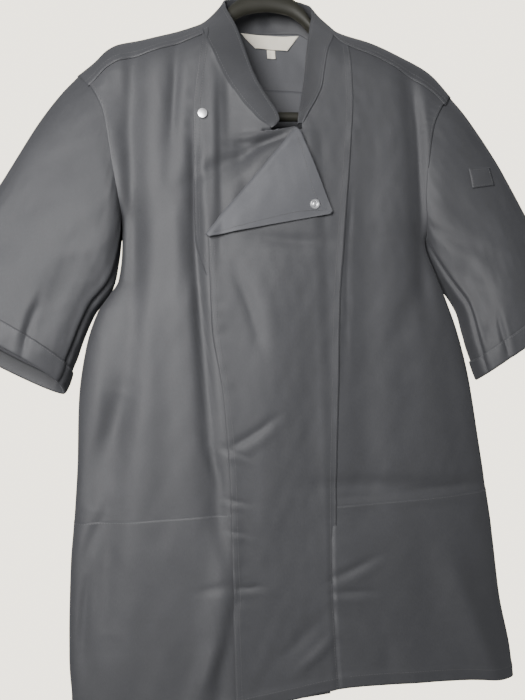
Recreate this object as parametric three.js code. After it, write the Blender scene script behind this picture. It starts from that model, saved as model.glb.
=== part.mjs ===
// Chef jacket with a folded-down front corner, hanging on a plastic hanger.
// Millimetres, +Z up. The origin is the inside top of the hook, where the hanger hangs.
// The front faces -Y. Left and right are the viewer's, facing the front.
import * as THREE from 'three';

const CLOTH = 1.5;              // wall of one layer of twill with its turnings
const COLLAR_WALL = 2.2;        // two layers and an interlining
const SEAM = 0.3;               // gap between neighbouring pieces
const EASED_SEAM = 0.9;         // gap where a curved seam joins pieces of different facets
const LAYER = CLOTH + 0.35;     // one layer lying on another
const OVERLAP_LAYER = CLOTH + 0.9;
const SUNK = 1.6;               // extra depth of the cloth that the overlap hides
const SHOULDER_ROLL = 60;       // radius of the cloth's bend over the shoulder
const SECTION_POWER = 0.55;     // how squarely the body's section turns at the sides
const VENT_TOP = -780;          // side vents are open below this height
const VENT_TURN = 0.1;          // radians by which an open vent's edge stays short of the side
const VENT_RUN = 60;            // height over which the vent opens to that
const POCKET_TOP = -650;
const STEP = 1e-3;              // step in (u, v) when a normal is measured
const SETTLE = 0.7;             // share of each correction when a height is found by repeating
const BACK_DROP = 4;            // the back's hem hangs lower than the front's

// A table of named columns. Each column becomes a smooth function of the first one.
function table(columns, rows) {
  const sorted = [...rows].sort((a, b) => a[0] - b[0]);
  const keys = sorted.map((row) => row[0]);
  const lookups = {};
  columns.slice(1).forEach((name, index) => {
    const values = sorted.map((row) => row[index + 1]);
    lookups[name] = (key) => interpolate(keys, values, key);
  });
  return lookups;
}

// Monotone cubic through (keys, values): smooth, and never past a row's value.
function interpolate(keys, values, key) {
  const last = keys.length - 1;
  if (key <= keys[0]) return values[0];
  if (key >= keys[last]) return values[last];
  let i = 0;
  while (key > keys[i + 1]) i += 1;
  const rise = (k) => (values[k + 1] - values[k]) / (keys[k + 1] - keys[k]);
  const slope = (k) => {
    if (k === 0) return rise(0);
    if (k === last) return rise(last - 1);
    const [a, b] = [rise(k - 1), rise(k)];
    return a * b <= 0 ? 0 : (2 * a * b) / (a + b);
  };
  const width = keys[i + 1] - keys[i];
  const t = (key - keys[i]) / width;
  const [s0, s1] = [slope(i) * width, slope(i + 1) * width];
  const [t2, t3] = [t * t, t * t * t];
  return values[i] * (2 * t3 - 3 * t2 + 1) + s0 * (t3 - 2 * t2 + t)
    + values[i + 1] * (3 * t2 - 2 * t3) + s1 * (t3 - t2);
}

const { lerp, clamp, smoothstep } = THREE.MathUtils;
const radians = THREE.MathUtils.degToRad;

// The body's half widths to each side and its depths to the front and back, by height.
const BODY = table(['z', 'left', 'right', 'front', 'back'], [
  [-90, 246, 246, 46, 36],
  [-172, 243, 246, 47, 38],
  [-230, 236, 238, 49, 40],
  [-280, 213, 222, 50, 41],
  [-320, 180, 200, 50, 41],
  [-352, 181.5, 178, 50, 41],
  [-385, 187, 188, 49, 41],
  [-400, 197, 194, 49, 41],
  [-420, 211.5, 201, 49, 41],
  [-460, 226, 214, 48, 40],
  [-516, 236, 226, 47, 39],
  [-590, 241, 235, 46, 38],
  [-650, 247, 242, 45, 38],
  [-715, 253, 247, 45, 37],
  [-781, 257, 252, 45, 36],
  [-850, 259, 263, 45, 35],
  [-885, 259, 265, 45, 35],
]);

// The ridge of the shoulders, which the hanger carries, and the height of the hem.
const RIDGE = table(['x', 'z'], [
  [-222, -153], [-203, -138], [-187, -123], [-175, -117], [-143, -110], [-82, -92],
  [-60, -78], [-30, -51], [8, -38], [42, -60], [64, -85], [78, -96],
  [119, -108], [160, -125], [191, -141], [222, -172],
]);
const HEM = table(['x', 'z'], [
  [-262, -868], [-120, -868], [-19, -860], [43, -855], [109, -859], [214, -870], [265, -880],
]);

// The forward yoke seams, from the neck to the armhole. The bend is an angle over the shoulder.
const FRONT_YOKE = {
  left: { x: [-80, -209.5], bend: [50, 57.5] },
  right: { x: [68, 201], bend: [50.5, 68.5] },
};
const ARMHOLE_LEFT = table(['z', 'x'], [
  [-153, -222], [-162, -216], [-173, -207], [-205, -194], [-238, -190], [-273, -186], [-320, -180],
]);
const ARMHOLE_RIGHT = table(['z', 'x'], [
  [-172, 222], [-180, 211], [-193, 197], [-219, 184], [-253, 177], [-300, 173], [-352, 178],
]);
const SHOULDER_POINT = { left: -153, right: -172 };
const UNDERARM = { left: -320, right: -352 };
const PRINCESS_LEFT = table(['z', 'x'], [
  [-112, -80], [-161, -90], [-205, -96], [-342, -99], [-420, -78], [-520, -54], [-620, -46], [-870, -50],
]);
const PRINCESS_RIGHT = table(['z', 'x'], [
  [-118, 84], [-180, 84], [-237, 79], [-350, 66], [-418, 58], [-530, 51], [-620, 45], [-754, 40], [-870, 42],
]);

// The overlap's left side below the collar: the fold, then the front edge.
const OVERLAP_EDGE = table(['z', 'x'], [
  [-228, 17], [-256, -9], [-300, -49], [-336, -82], [-343, -87],
  [-435, -87], [-523, -78], [-621, -75], [-720, -77], [-870, -80],
]);
// The under front's free edge, hidden under the overlap, by its share of the panel's rows.
const UNDER_EDGE = table(['v', 'x', 'z'], [
  [6 / 28, -12.3, -227], [7 / 28, 18, -222], [8 / 28, 24, -262], [10 / 28, 27, -343], [20 / 28, 28, -650], [1, 28, -860],
]);
// The rows of the front panels: their share of the rows, and their height.
const ROWS = 28;
const STATIONS = [
  { v: 0 }, { v: 6 / ROWS, z: -228 }, { v: 10 / ROWS, z: -343 }, { v: 20 / ROWS, z: POCKET_TOP }, { v: 1 },
];

// Soft creases pressed into the front: a line, a half width and a depth towards the inside.
const CREASES = [
  { name: 'long left', from: [-158, -150], to: [-168, -345], width: 13, depth: 7 },
  { name: 'long left, lower', from: [-168, -345], to: [-200, -600], width: 16, depth: 7 },
  { name: 'under the left yoke', from: [-112, -140], to: [-120, -225], width: 11, depth: 4 },
  { name: 'beside the overlap', from: [-98, -250], to: [-104, -350], width: 10, depth: 5 },
  { name: 'beside the overlap, lower', from: [-104, -350], to: [-92, -640], width: 12, depth: 6 },
  { name: 'down from the collar end', from: [-58, -190], to: [-72, -335], width: 10, depth: 5 },
  { name: 'under the collar end', from: [-66, -262], to: [-38, -248], width: 9, depth: 5 },
  { name: 'low left', from: [-215, -690], to: [-236, -790], width: 14, depth: 6 },
  { name: 'low left ridge', from: [-92, -740], to: [-120, -860], width: 13, depth: -5 },
  { name: 'right armhole', from: [158, -190], to: [166, -400], width: 12, depth: 6 },
  { name: 'above the right pocket', from: [70, -628], to: [205, -640], width: 10, depth: 3.5 },
  { name: 'overlap bulge', from: [-20, -400], to: [-40, -640], width: 30, depth: -4 },
  { name: 'right of the overlap', from: [95, -330], to: [85, -600], width: 22, depth: 4 },
  { name: 'right hem flare', from: [190, -760], to: [232, -870], width: 20, depth: -8 },
];
// Similar creases on the back, which the photograph doesn't show.
const BACK_CREASES = [
  { name: 'left blade', from: [-150, -240], to: [-170, -420], width: 15, depth: 6 },
  { name: 'right blade', from: [150, -250], to: [165, -440], width: 15, depth: 6 },
  { name: 'left skirt', from: [-90, -500], to: [-120, -850], width: 22, depth: 5 },
  { name: 'middle', from: [10, -330], to: [25, -700], width: 24, depth: 5 },
  { name: 'right skirt', from: [120, -560], to: [140, -860], width: 22, depth: 6 },
];
const CREASE_FADE = 45;         // mm over which a crease runs out at its ends

function pressed(creases, x, z) {
  let depth = 0;
  for (const crease of creases) {
    const [x0, z0] = crease.from;
    const [x1, z1] = crease.to;
    const length = Math.hypot(x1 - x0, z1 - z0);
    const along = ((x - x0) * (x1 - x0) + (z - z0) * (z1 - z0)) / length;
    const across = ((x - x0) * (z1 - z0) - (z - z0) * (x1 - x0)) / length;
    const past = Math.max(-along, along - length, 0);
    depth += crease.depth * Math.exp(-((across / crease.width) ** 2) - (past / CREASE_FADE) ** 2);
  }
  return depth;
}

// How far the cloth has come over the shoulder: 0 on the ridge, 1 where it hangs straight.
function hang(below) {
  const turn = clamp(1 - below / SHOULDER_ROLL, 0, 1);
  return Math.sqrt(1 - turn * turn);
}

const halfWidth = (z, x) => (x < 0 ? BODY.left(z) : BODY.right(z));
const turnOf = (x, z) => Math.asin(clamp(x / halfWidth(z, x), -1, 1));

// A point of the body's outer face, from the turn round it, its height and its side.
function bodyPoint(turn, z, side) {
  const x = halfWidth(z, turn) * Math.sin(turn);
  const full = side < 0 ? BODY.front(z) : BODY.back(z);
  const creases = side < 0 ? CREASES : BACK_CREASES;
  const edge = Math.abs(Math.cos(turn)) ** SECTION_POWER;
  const over = hang(RIDGE.z(x) - z);
  const depth = (full - pressed(creases, x, z)) * edge * over;
  return new THREE.Vector3(x, side * Math.max(depth, SEAM / 2), z);
}

// Height lost over the shoulder at an angle, as a share of the roll's radius.
const dropOf = (bend) => (bend < 90 ? 1 - Math.cos(radians(bend)) : 1 + radians(bend - 90));

// The body's point at x, over the shoulder by an angle: negative to the front.
function shoulderPoint(x, bend) {
  const side = bend < 0 ? -1 : 1;
  const angle = Math.abs(bend);
  const z = RIDGE.z(x) - SHOULDER_ROLL * dropOf(angle);
  const point = bodyPoint(turnOf(x, z), z, side);
  if (angle < 0.2) point.y = 0;
  return point;
}
const frontYokeBend = (x) => {
  const seam = x < 0 ? FRONT_YOKE.left : FRONT_YOKE.right;
  return lerp(seam.bend[0], seam.bend[1], (x - seam.x[0]) / (seam.x[1] - seam.x[0]));
};
const frontYokeHeight = (x) => RIDGE.z(x) - SHOULDER_ROLL * dropOf(frontYokeBend(x));
const BACK_YOKE = table(['x', 'z'], [
  [-196, -197], [-150, -172], [-90, -152], [0, -148], [90, -154], [150, -176], [190, -207],
]);

// The height at v between a top and a bottom, through the stations.
function rowHeight(v, top, bottom) {
  const stations = STATIONS.map((station) => ({ z: station.v === 0 ? top : bottom, ...station }));
  let i = 0;
  while (i < stations.length - 2 && v > stations[i + 1].v) i += 1;
  const [above, below] = [stations[i], stations[i + 1]];
  return lerp(above.z, below.z, (v - above.v) / (below.v - above.v));
}

// A panel between a left and a right seam (x by height) and a top and a bottom line (height by x).
function panel({ left, right, top, bottom, side = -1, inset = SEAM / 2, height = rowHeight }) {
  const turnAt = (u, z) => lerp(turnOf(left(z) + inset, z), turnOf(right(z) - inset, z), u);
  const heightOn = (line, u, start) => {
    let z = start;
    for (let i = 0; i < 12; i += 1) {
      const turn = turnAt(u, z);
      z = lerp(z, line(halfWidth(z, turn) * Math.sin(turn)), SETTLE);
    }
    return z;
  };
  return (u, v) => {
    const z = height(v, heightOn(top, u, -160), heightOn(bottom, u, -860));
    return bodyPoint(turnAt(u, z), z, side);
  };
}

// The outward normal of a patch at (u, v), seen with u to the right and v downwards.
function normalOf(patch, u, v, ring) {
  const at = (s, t) => patch(ring ? s : clamp(s, 0, 1), clamp(t, 0, 1));
  const across = at(u + STEP, v).sub(at(u - STEP, v));
  const down = at(u, v + STEP).sub(at(u, v - STEP));
  return down.cross(across).normalize();
}

// The same patch moved out from its face by a lift, which may vary over it.
function lifted(patch, lift, ring = false) {
  const amount = typeof lift === 'function' ? lift : () => lift;
  return (u, v) => patch(u, v).addScaledVector(normalOf(patch, u, v, ring), amount(u, v));
}

// Part of a patch, given by its limits in u and v.
const part = (patch, [u0, u1], [v0, v1]) => (u, v) => patch(lerp(u0, u1, u), lerp(v0, v1, v));

// A closed wall of cloth behind a patch: its outer face, its inner face and its edges.
function wall(patch, { columns, rows, thickness = CLOTH, ring = false, normals }) {
  const across = ring ? columns : columns + 1;
  const outer = [];
  const inner = [];
  for (let i = 0; i <= rows; i += 1) {
    for (let j = 0; j < across; j += 1) {
      const [u, v] = [j / columns, i / rows];
      const point = patch(u, v);
      const normal = (normals && normals(u, v)) || normalOf(patch, u, v, ring);
      outer.push(point);
      inner.push(point.clone().addScaledVector(normal, -thickness));
    }
  }
  const triangles = [];
  const quad = (a, b, c, d) => triangles.push(a, b, c, a, c, d);
  const count = outer.length;
  const id = (i, j) => i * across + (j % across);
  for (let i = 0; i < rows; i += 1) {
    for (let j = 0; j < columns; j += 1) {
      const [a, b, c, d] = [id(i, j), id(i, j + 1), id(i + 1, j + 1), id(i + 1, j)];
      quad(a, d, c, b);
      quad(a + count, b + count, c + count, d + count);
    }
  }
  for (let j = 0; j < columns; j += 1) {
    const [a, b] = [id(0, j), id(0, j + 1)];
    const [c, d] = [id(rows, j), id(rows, j + 1)];
    quad(a, b, b + count, a + count);
    quad(c, c + count, d + count, d);
  }
  if (!ring) {
    for (let i = 0; i < rows; i += 1) {
      const [a, d] = [id(i, 0), id(i + 1, 0)];
      const [b, c] = [id(i, columns), id(i + 1, columns)];
      quad(a, a + count, d + count, d);
      quad(b, c, c + count, b + count);
    }
  }
  return solid([...outer, ...inner], triangles);
}

function solid(points, triangles) {
  const geometry = new THREE.BufferGeometry();
  geometry.setAttribute('position', new THREE.Float32BufferAttribute(points.flatMap((p) => p.toArray()), 3));
  geometry.setIndex(triangles);
  geometry.computeVertexNormals();
  return geometry;
}

// A solid bar through a list of closed sections, each an array of points in the same order.
function bar(sections) {
  const size = sections[0].length;
  const points = sections.flat();
  const triangles = [];
  for (let i = 0; i + 1 < sections.length; i += 1) {
    for (let j = 0; j < size; j += 1) {
      const [a, b] = [i * size + j, i * size + ((j + 1) % size)];
      triangles.push(a, b + size, b, a, a + size, b + size);
    }
  }
  const lastRow = (sections.length - 1) * size;
  for (let j = 1; j + 1 < size; j += 1) {
    triangles.push(0, j, j + 1, lastRow, lastRow + j + 1, lastRow + j);
  }
  return solid(points, triangles);
}

const COLOURS = {
  twill: { color: 0x3f3f42, roughness: 0.72, metalness: 0 },
  twillInside: { color: 0x48484d, roughness: 0.8, metalness: 0 },
  plastic: { color: 0x26261f, roughness: 0.4, metalness: 0 },
  steel: { color: 0xc8c8ca, roughness: 0.25, metalness: 1 },
  label: { color: 0xd2ccb8, roughness: 0.8, metalness: 0 },
};
const materials = Object.fromEntries(
  Object.entries(COLOURS).map(([name, look]) => [name, new THREE.MeshStandardMaterial(look)]),
);

const jacket = new THREE.Group();
function add(name, geometry, material) {
  const mesh = new THREE.Mesh(geometry, materials[material]);
  mesh.name = name;
  jacket.add(mesh);
  return mesh;
}

// The sides of the body: the armhole above the underarm, the side seam below it.
function sideLine(hand, half) {
  const armhole = hand === 'left' ? ARMHOLE_LEFT : ARMHOLE_RIGHT;
  const sign = hand === 'left' ? -1 : 1;
  return (z) => {
    if (z > UNDERARM[hand]) return armhole.x(z);
    const vent = VENT_TURN * clamp((VENT_TOP - z) / VENT_RUN, 0, 1);
    return sign * (half(z) * Math.cos(vent) + SEAM / 2);
  };
}
const leftSide = sideLine('left', BODY.left);
const rightSide = sideLine('right', BODY.right);
const seamGap = SEAM / 2;
const yokeGap = EASED_SEAM / 2;

// The cloth under the overlap lies a little deeper.
function sunk(patch) {
  return (u, v) => {
    const point = patch(u, v);
    const under = point.z < -215 ? smoothstep(point.x, OVERLAP_EDGE.x(point.z) - 3, OVERLAP_EDGE.x(point.z) + 8) : 0;
    point.y += SUNK * under;
    return point;
  };
}

// Collar, from the left front end over the back to the right front end: its seam on the body
// as x and bend, and its top edge.
const COLLAR = table(['t', 'x', 'bend', 'topX', 'topY', 'topZ'], [
  [0.00, -10, -206, -5, -46, -220],
  [0.02, -14, -202, -1, -45, -213],
  [0.05, -21, -195, -2, -42, -205],
  [0.11, -38, -167, -11, -38, -187],
  [0.18, -56, -124, -24, -34, -161],
  [0.24, -70, -88, -32, -31, -135],
  [0.30, -80, -50, -41, -25, -103],
  [0.35, -82, 0, -52, -12, -71],
  [0.39, -74, 27, -51, 8, -56],
  [0.43, -56, 48, -41, 20, -48],
  [0.47, -28, 64, -23, 28, -43],
  [0.52, 8, 74, 6, 31, -41],
  [0.57, 42, 53, 34, 26, -44],
  [0.61, 62, 40, 47, 14, -53],
  [0.65, 75, 0, 51, -10, -71],
  [0.70, 68, -50, 46, -18, -92],
  [0.77, 56, -90, 41, -20, -116],
  [0.87, 47, -138, 34, -21, -162],
  [0.96, 29, -184, 26, -22, -200],
  [1.00, 23, -199, 24, -24, -212],
]);
const NECK_RANGE = [0.30, 0.70];  // the part of the collar that stands on the yoke
const collarSeam = (t) => shoulderPoint(COLLAR.x(t), COLLAR.bend(t));
// The right front's collar seam, as x by height.
const COLLAR_SEAM_RIGHT = table(['z', 'x'], Array.from({ length: 25 }, (_, i) => {
  const { x, z } = collarSeam(lerp(NECK_RANGE[1], 1, i / 24));
  return [z, x];
}));

// Body panels
const SIDE_COLUMNS = 10;
const frontTop = (x) => frontYokeHeight(x) - yokeGap;
const sideFrontLeft = sunk(panel({ left: leftSide, right: PRINCESS_LEFT.x, top: frontTop, bottom: HEM.z }));
const sideFrontRight = panel({ left: PRINCESS_RIGHT.x, right: rightSide, top: frontTop, bottom: HEM.z });
const back = panel({
  left: leftSide, right: rightSide, top: (x) => BACK_YOKE.z(x) - yokeGap, bottom: (x) => HEM.z(x) - BACK_DROP, side: 1,
  height: (v, top, bottom) => lerp(top, bottom, v),
});
add('side_front_left', wall(sideFrontLeft, { columns: SIDE_COLUMNS, rows: ROWS }), 'twill');
add('side_front_right', wall(sideFrontRight, { columns: SIDE_COLUMNS, rows: ROWS }), 'twill');
add('back', wall((u, v) => back(1 - u, v), { columns: 22, rows: 22 }), 'twill');

// Under front: ruled between its left seam and its right side, the collar seam and the free edge
const UNDER_TOP = { x: -80, z: frontTop(-80) };
const COLLAR_END_V = 6 / ROWS;
const underRight = (v) => {
  if (v > COLLAR_END_V - STEP) return { x: UNDER_EDGE.x(v), z: UNDER_EDGE.z(v) };
  const { x, z } = collarSeam(lerp(NECK_RANGE[0] - 0.005, 0, v / COLLAR_END_V));
  return { x: Math.max(x - 2.5 * EASED_SEAM, PRINCESS_LEFT.x(z) + SEAM), z };
};
const underFlat = (u, v) => {
  const leftZ = rowHeight(v, UNDER_TOP.z, HEM.z(-47));
  const right = underRight(v);
  const start = turnOf(PRINCESS_LEFT.x(leftZ) + seamGap, leftZ);
  return bodyPoint(lerp(start, turnOf(right.x, right.z), u), lerp(leftZ, right.z, u), -1);
};
const underFront = sunk(underFlat);
add('under_front', wall(underFront, { columns: 7, rows: ROWS }), 'twill');

// Overlap front: one layer out, and level with the right side front at their seam
const overlapLeft = (z) => (z > -226 ? COLLAR_SEAM_RIGHT.x(z) + EASED_SEAM : OVERLAP_EDGE.x(z));
const overlapFlat = panel({ left: overlapLeft, right: PRINCESS_RIGHT.x, top: frontTop, bottom: HEM.z });
const RELIEF = { from: 30, to: 41, seam: 12 };    // x over which it comes down to the seam
const COLLAR_RISE = { from: 205, to: 235 };       // height over which it leaves the collar
const overlapLift = (u, v) => {
  const { x, z } = overlapFlat(u, v);
  const down = smoothstep(-z, COLLAR_RISE.from, COLLAR_RISE.to);
  const seam = PRINCESS_RIGHT.x(z);
  const level = smoothstep(x, Math.min(RELIEF.from, seam - RELIEF.seam), Math.min(RELIEF.to, seam - 1));
  return OVERLAP_LAYER * down * (1 - level);
};
const overlap = lifted(overlapFlat, overlapLift);
add('overlap_front', wall(overlap, { columns: 9, rows: ROWS }), 'twill');

// Flap: the overlap's top corner, folded down along the fold with its inner face out
const FOLD = { top: [19, -229], corner: [-87, -344] };
const FLAP_TIP = [52, -320];
const FLAP_TIP_WIDTH = 5;
const FOLD_LENGTH = Math.hypot(FOLD.top[0] - FOLD.corner[0], FOLD.top[1] - FOLD.corner[1]);
const FLAP_LOFT = 5;            // height of the rolled fold above flat cloth
const flapFlat = (u, v) => {
  const shrink = 1 - v * (1 - FLAP_TIP_WIDTH / FOLD_LENGTH);
  const [midX, midZ] = [lerp(FOLD.corner[0], FOLD.top[0], 0.5), lerp(FOLD.corner[1], FOLD.top[1], 0.5)];
  const alongX = (FOLD.top[0] - FOLD.corner[0]) * (u - 0.5) * shrink;
  const alongZ = (FOLD.top[1] - FOLD.corner[1]) * (u - 0.5) * shrink;
  const x = lerp(midX, FLAP_TIP[0], v) + alongX;
  const z = lerp(midZ, FLAP_TIP[1], v) + alongZ;
  return bodyPoint(turnOf(x, z), z, -1);
};
const FLAP_REST = OVERLAP_LAYER + LAYER + 1.4;    // its face over the body, clear of the overlap
const flapLift = (u, v) => FLAP_REST + FLAP_LOFT * Math.sin(Math.PI * v) * (1 - 0.4 * v);
const flap = lifted(flapFlat, flapLift);
add('flap', wall(flap, { columns: 10, rows: 10 }), 'twillInside');

// Pockets: one layer out over the side fronts, on the panels' own points, down to the hem
const POCKET_V = STATIONS[3].v;
const POCKET_ROWS = ROWS * (1 - POCKET_V);
const POCKETS = {
  left: { panel: sideFrontLeft, columns: [0, SIDE_COLUMNS - 1] },   // it stops at the overlap's edge
  right: { panel: sideFrontRight, columns: [0, SIDE_COLUMNS] },
};
for (const [hand, pocket] of Object.entries(POCKETS)) {
  const [first, last] = pocket.columns;
  const share = [first / SIDE_COLUMNS, last / SIDE_COLUMNS];
  const shape = part(lifted(pocket.panel, LAYER), share, [POCKET_V, 1]);
  add(`pocket_${hand}`, wall(shape, { columns: last - first, rows: POCKET_ROWS }), 'twill');
}

// Collar: a band from its seam to its top edge
const collar = (u, v) => {
  const t = 1 - u;
  const seam = collarSeam(t);
  const top = new THREE.Vector3(COLLAR.topX(t), COLLAR.topY(t), COLLAR.topZ(t));
  const rise = top.sub(seam);
  const share = lerp(1, 1.4 * EASED_SEAM / rise.length(), v);
  return seam.addScaledVector(rise, share);
};
add('collar', wall(collar, { columns: 44, rows: 3, thickness: COLLAR_WALL }), 'twill');

// Yoke: one saddle from the forward seams over the shoulders to the back seam
const armholeOf = { left: ARMHOLE_LEFT, right: ARMHOLE_RIGHT };
function armholeByBend(hand, bend) {
  let z = SHOULDER_POINT[hand];
  let x = armholeOf[hand].x(z);
  for (let i = 0; i < 40; i += 1) {
    x = armholeOf[hand].x(z);
    z = lerp(z, RIDGE.z(x) - SHOULDER_ROLL * dropOf(Math.abs(bend)), SETTLE);
  }
  return x;
}
const bendAt = (x, z) => {
  const share = (RIDGE.z(x) - z) / SHOULDER_ROLL;
  return share < 1 ? THREE.MathUtils.radToDeg(Math.acos(1 - share)) : 90 + THREE.MathUtils.radToDeg(share - 1);
};
const YOKE_CORNER = { left: -196, right: 190 };   // x where the back seam meets the armholes
const ARMHOLE_SHARE = 0.3;      // of the yoke's edge, along each armhole
function yokeEdge(t) {
  const seamBend = (x) => bendAt(x, BACK_YOKE.z(x) + yokeGap);
  if (t > ARMHOLE_SHARE && t < 1 - ARMHOLE_SHARE) {
    const x = lerp(YOKE_CORNER.left, YOKE_CORNER.right, (t - ARMHOLE_SHARE) / (1 - 2 * ARMHOLE_SHARE));
    return [x, seamBend(x)];
  }
  const hand = t < 0.5 ? 'left' : 'right';
  const share = (hand === 'left' ? t : 1 - t) / ARMHOLE_SHARE;
  const bend = lerp(-FRONT_YOKE[hand].bend[1], seamBend(YOKE_CORNER[hand]), share);
  const x = armholeByBend(hand, bend);
  return [x - Math.sign(x) * seamGap, bend];
}
// The forward seams' ends stay a gap short of the fronts: an angle over the shoulder.
const END_TURN = 0.5;
const yoke = (u, v) => {
  const t = 1 - u;
  const neckT = lerp(NECK_RANGE[0], NECK_RANGE[1], t);
  const [x, bend] = yokeEdge(t);
  const short = END_TURN * Math.max(1 - t / 0.05, 1 - (1 - t) / 0.05, 0);
  return shoulderPoint(lerp(COLLAR.x(neckT), x, v), lerp(COLLAR.bend(neckT), bend, v) + short);
};
add('yoke', wall(yoke, { columns: 40, rows: 9 }), 'twill');

// Sleeves: from the armhole to a flattened oval at the cuff. The outer and inner points are the
// fold over the arm and the underarm fold. The drop tips the opening down towards the back.
const SLEEVES = {
  left: table(['t', 'outX', 'outZ', 'inX', 'inZ', 'inY', 'front', 'back', 'drop'], [
    [0.00, -222, -153, -180, -320, 0, 36, 32, 0],
    [0.10, -240, -173, -188, -338, 0, 40, 33, 0.03],
    [0.25, -262, -203, -199, -368, -2, 42, 34, 0.08],
    [0.50, -309, -278, -217, -417, -4, 43, 33, 0.2],
    [0.75, -352, -346, -234, -466, -6, 43, 32, 0.33],
    [1.00, -394, -421, -251, -507, -8, 42, 31, 0.43],
  ]),
  right: table(['t', 'outX', 'outZ', 'inX', 'inZ', 'inY', 'front', 'back', 'drop'], [
    [0.00, 222, -172, 178, -352, 0, 36, 32, 0],
    [0.10, 240, -196, 189, -369, -2, 40, 33, 0.03],
    [0.25, 264, -238, 203, -396, -6, 42, 34, 0.08],
    [0.50, 302, -310, 217, -440, -14, 43, 33, 0.15],
    [0.75, 337, -374, 223, -478, -21, 43, 32, 0.22],
    [1.00, 372, -441, 234, -521, -24, 42, 31, 0.3],
  ]),
};
const SLEEVE_SET = 0.35;        // share of the sleeve over which it leaves the armhole's shape
const SLEEVE_SQUARE = 0.7;      // how squarely its section turns at the folds
const SLEEVE_LENGTH = { over: 320, under: 195 };
const CREASE_RUN = 0.15;        // share of the sleeve over which a crease runs out
const UNDERARM_EASE = 0.9;      // mm by which the underarm clears the side seam
const SLEEVE_CREASES = {
  left: [
    { angle: 1.2, from: 0.1, to: 0.75, width: 0.2, depth: 5 },
    { angle: 2.1, from: 0.35, to: 0.95, width: 0.18, depth: 5 },
    { angle: 4.4, from: 0.2, to: 0.8, width: 0.25, depth: 5 },
  ],
  right: [
    { angle: 1.7, from: 0.05, to: 0.6, width: 0.2, depth: 4 },
    { angle: 2.4, from: 0.2, to: 0.9, width: 0.18, depth: 5 },
    { angle: 4.6, from: 0.2, to: 0.8, width: 0.25, depth: 5 },
  ],
};

// A point of the armhole seam by angle: 0 at the shoulder, a quarter turn at the front.
function armholePoint(hand, angle) {
  const down = (1 - Math.cos(angle)) / 2;
  const z = lerp(SHOULDER_POINT[hand], UNDERARM[hand], down);
  const x = armholeOf[hand].x(z);
  const point = bodyPoint(turnOf(x, z), z, Math.sin(angle) >= 0 ? -1 : 1);
  if (Math.abs(Math.sin(angle)) < 1e-6) point.y = 0;
  return point;
}
function bodyNormal(hand, angle) {
  const down = (1 - Math.cos(angle)) / 2;
  const z = lerp(SHOULDER_POINT[hand], UNDERARM[hand], down);
  const turn = turnOf(armholeOf[hand].x(z), z);
  const side = Math.sin(angle) >= 0 ? -1 : 1;
  const edge = Math.abs(Math.sin(angle));
  if (edge < 0.05) return new THREE.Vector3(Math.sign(turn) * down, 0, 1 - down).normalize();
  const across = bodyPoint(turn + STEP, z, side).sub(bodyPoint(turn - STEP, z, side));
  const below = bodyPoint(turn, z - STEP, side).sub(bodyPoint(turn, z + STEP, side));
  return below.cross(across).multiplyScalar(-side).normalize();
}
function sleeveOf(hand) {
  const shape = SLEEVES[hand];
  const sign = hand === 'left' ? 1 : -1;
  const angleOf = (u) => (hand === 'left' ? u : 1 - u) * 2 * Math.PI;
  const start = (angle) => {
    const tangent = armholePoint(hand, angle + STEP).sub(armholePoint(hand, angle - STEP));
    const away = tangent.cross(bodyNormal(hand, angle)).normalize();
    const point = armholePoint(hand, angle).addScaledVector(away, sign * EASED_SEAM * (1.5 - Math.cos(angle)));
    point.x -= sign * UNDERARM_EASE * ((1 - Math.cos(angle)) / 2) ** 6;
    return point;
  };
  const oval = (angle, t) => {
    const inward = (1 - Math.cos(angle)) / 2;
    const depth = Math.sin(angle) >= 0 ? -shape.front(t) : shape.back(t);
    const y = shape.inY(t) * inward + depth * Math.abs(Math.sin(angle)) ** SLEEVE_SQUARE;
    const x = lerp(shape.outX(t), shape.inX(t), inward);
    const z = lerp(shape.outZ(t), shape.inZ(t), inward) - shape.drop(t) * y;
    return new THREE.Vector3(x, y, z);
  };
  const plain = (u, t) => {
    const angle = angleOf(u);
    const set = smoothstep(t, 0, SLEEVE_SET);
    const shift = oval(angle, t).sub(oval(angle, 0)).add(start(angle));
    return shift.lerp(oval(angle, t), set);
  };
  const turned = (angle) => ((angle % (2 * Math.PI)) + 2 * Math.PI) % (2 * Math.PI);
  const pressedIn = (u, t) => SLEEVE_CREASES[hand].reduce((sum, crease) => {
    const along = smoothstep(t, crease.from, crease.from + CREASE_RUN)
      * (1 - smoothstep(t, crease.to - CREASE_RUN, crease.to));
    return sum + crease.depth * along * Math.exp(-(((turned(angleOf(u)) - crease.angle) / crease.width) ** 2));
  }, 0);
  const sleeve = (u, t) => plain(u, t).addScaledVector(normalOf(plain, u, t, true), -pressedIn(u, t));
  const normals = (u, v) => {
    if (v > 0) return null;
    const angle = angleOf(u);
    const weight = 0.45 * (1 + Math.cos(angle));
    return bodyNormal(hand, angle).multiplyScalar(weight)
      .addScaledVector(normalOf(sleeve, u, 0.01, true), 1 - weight).normalize();
  };
  const length = (u) => lerp(SLEEVE_LENGTH.over, SLEEVE_LENGTH.under, (1 - Math.cos(angleOf(u))) / 2);
  return { sleeve, normals, length };
}
const CUFF_HEIGHT = 25;
const sleeves = { left: sleeveOf('left'), right: sleeveOf('right') };
for (const hand of ['left', 'right']) {
  const { sleeve, normals, length } = sleeves[hand];
  const cuff = (u, v) => sleeve(u, lerp(1 - CUFF_HEIGHT / length(u), 1, v));
  add(`sleeve_${hand}`, wall(sleeve, { columns: 32, rows: 13, ring: true, normals }), 'twill');
  add(`cuff_${hand}`, wall(lifted(cuff, LAYER + 0.3, true), { columns: 32, rows: 2, ring: true }), 'twill');
}

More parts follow.
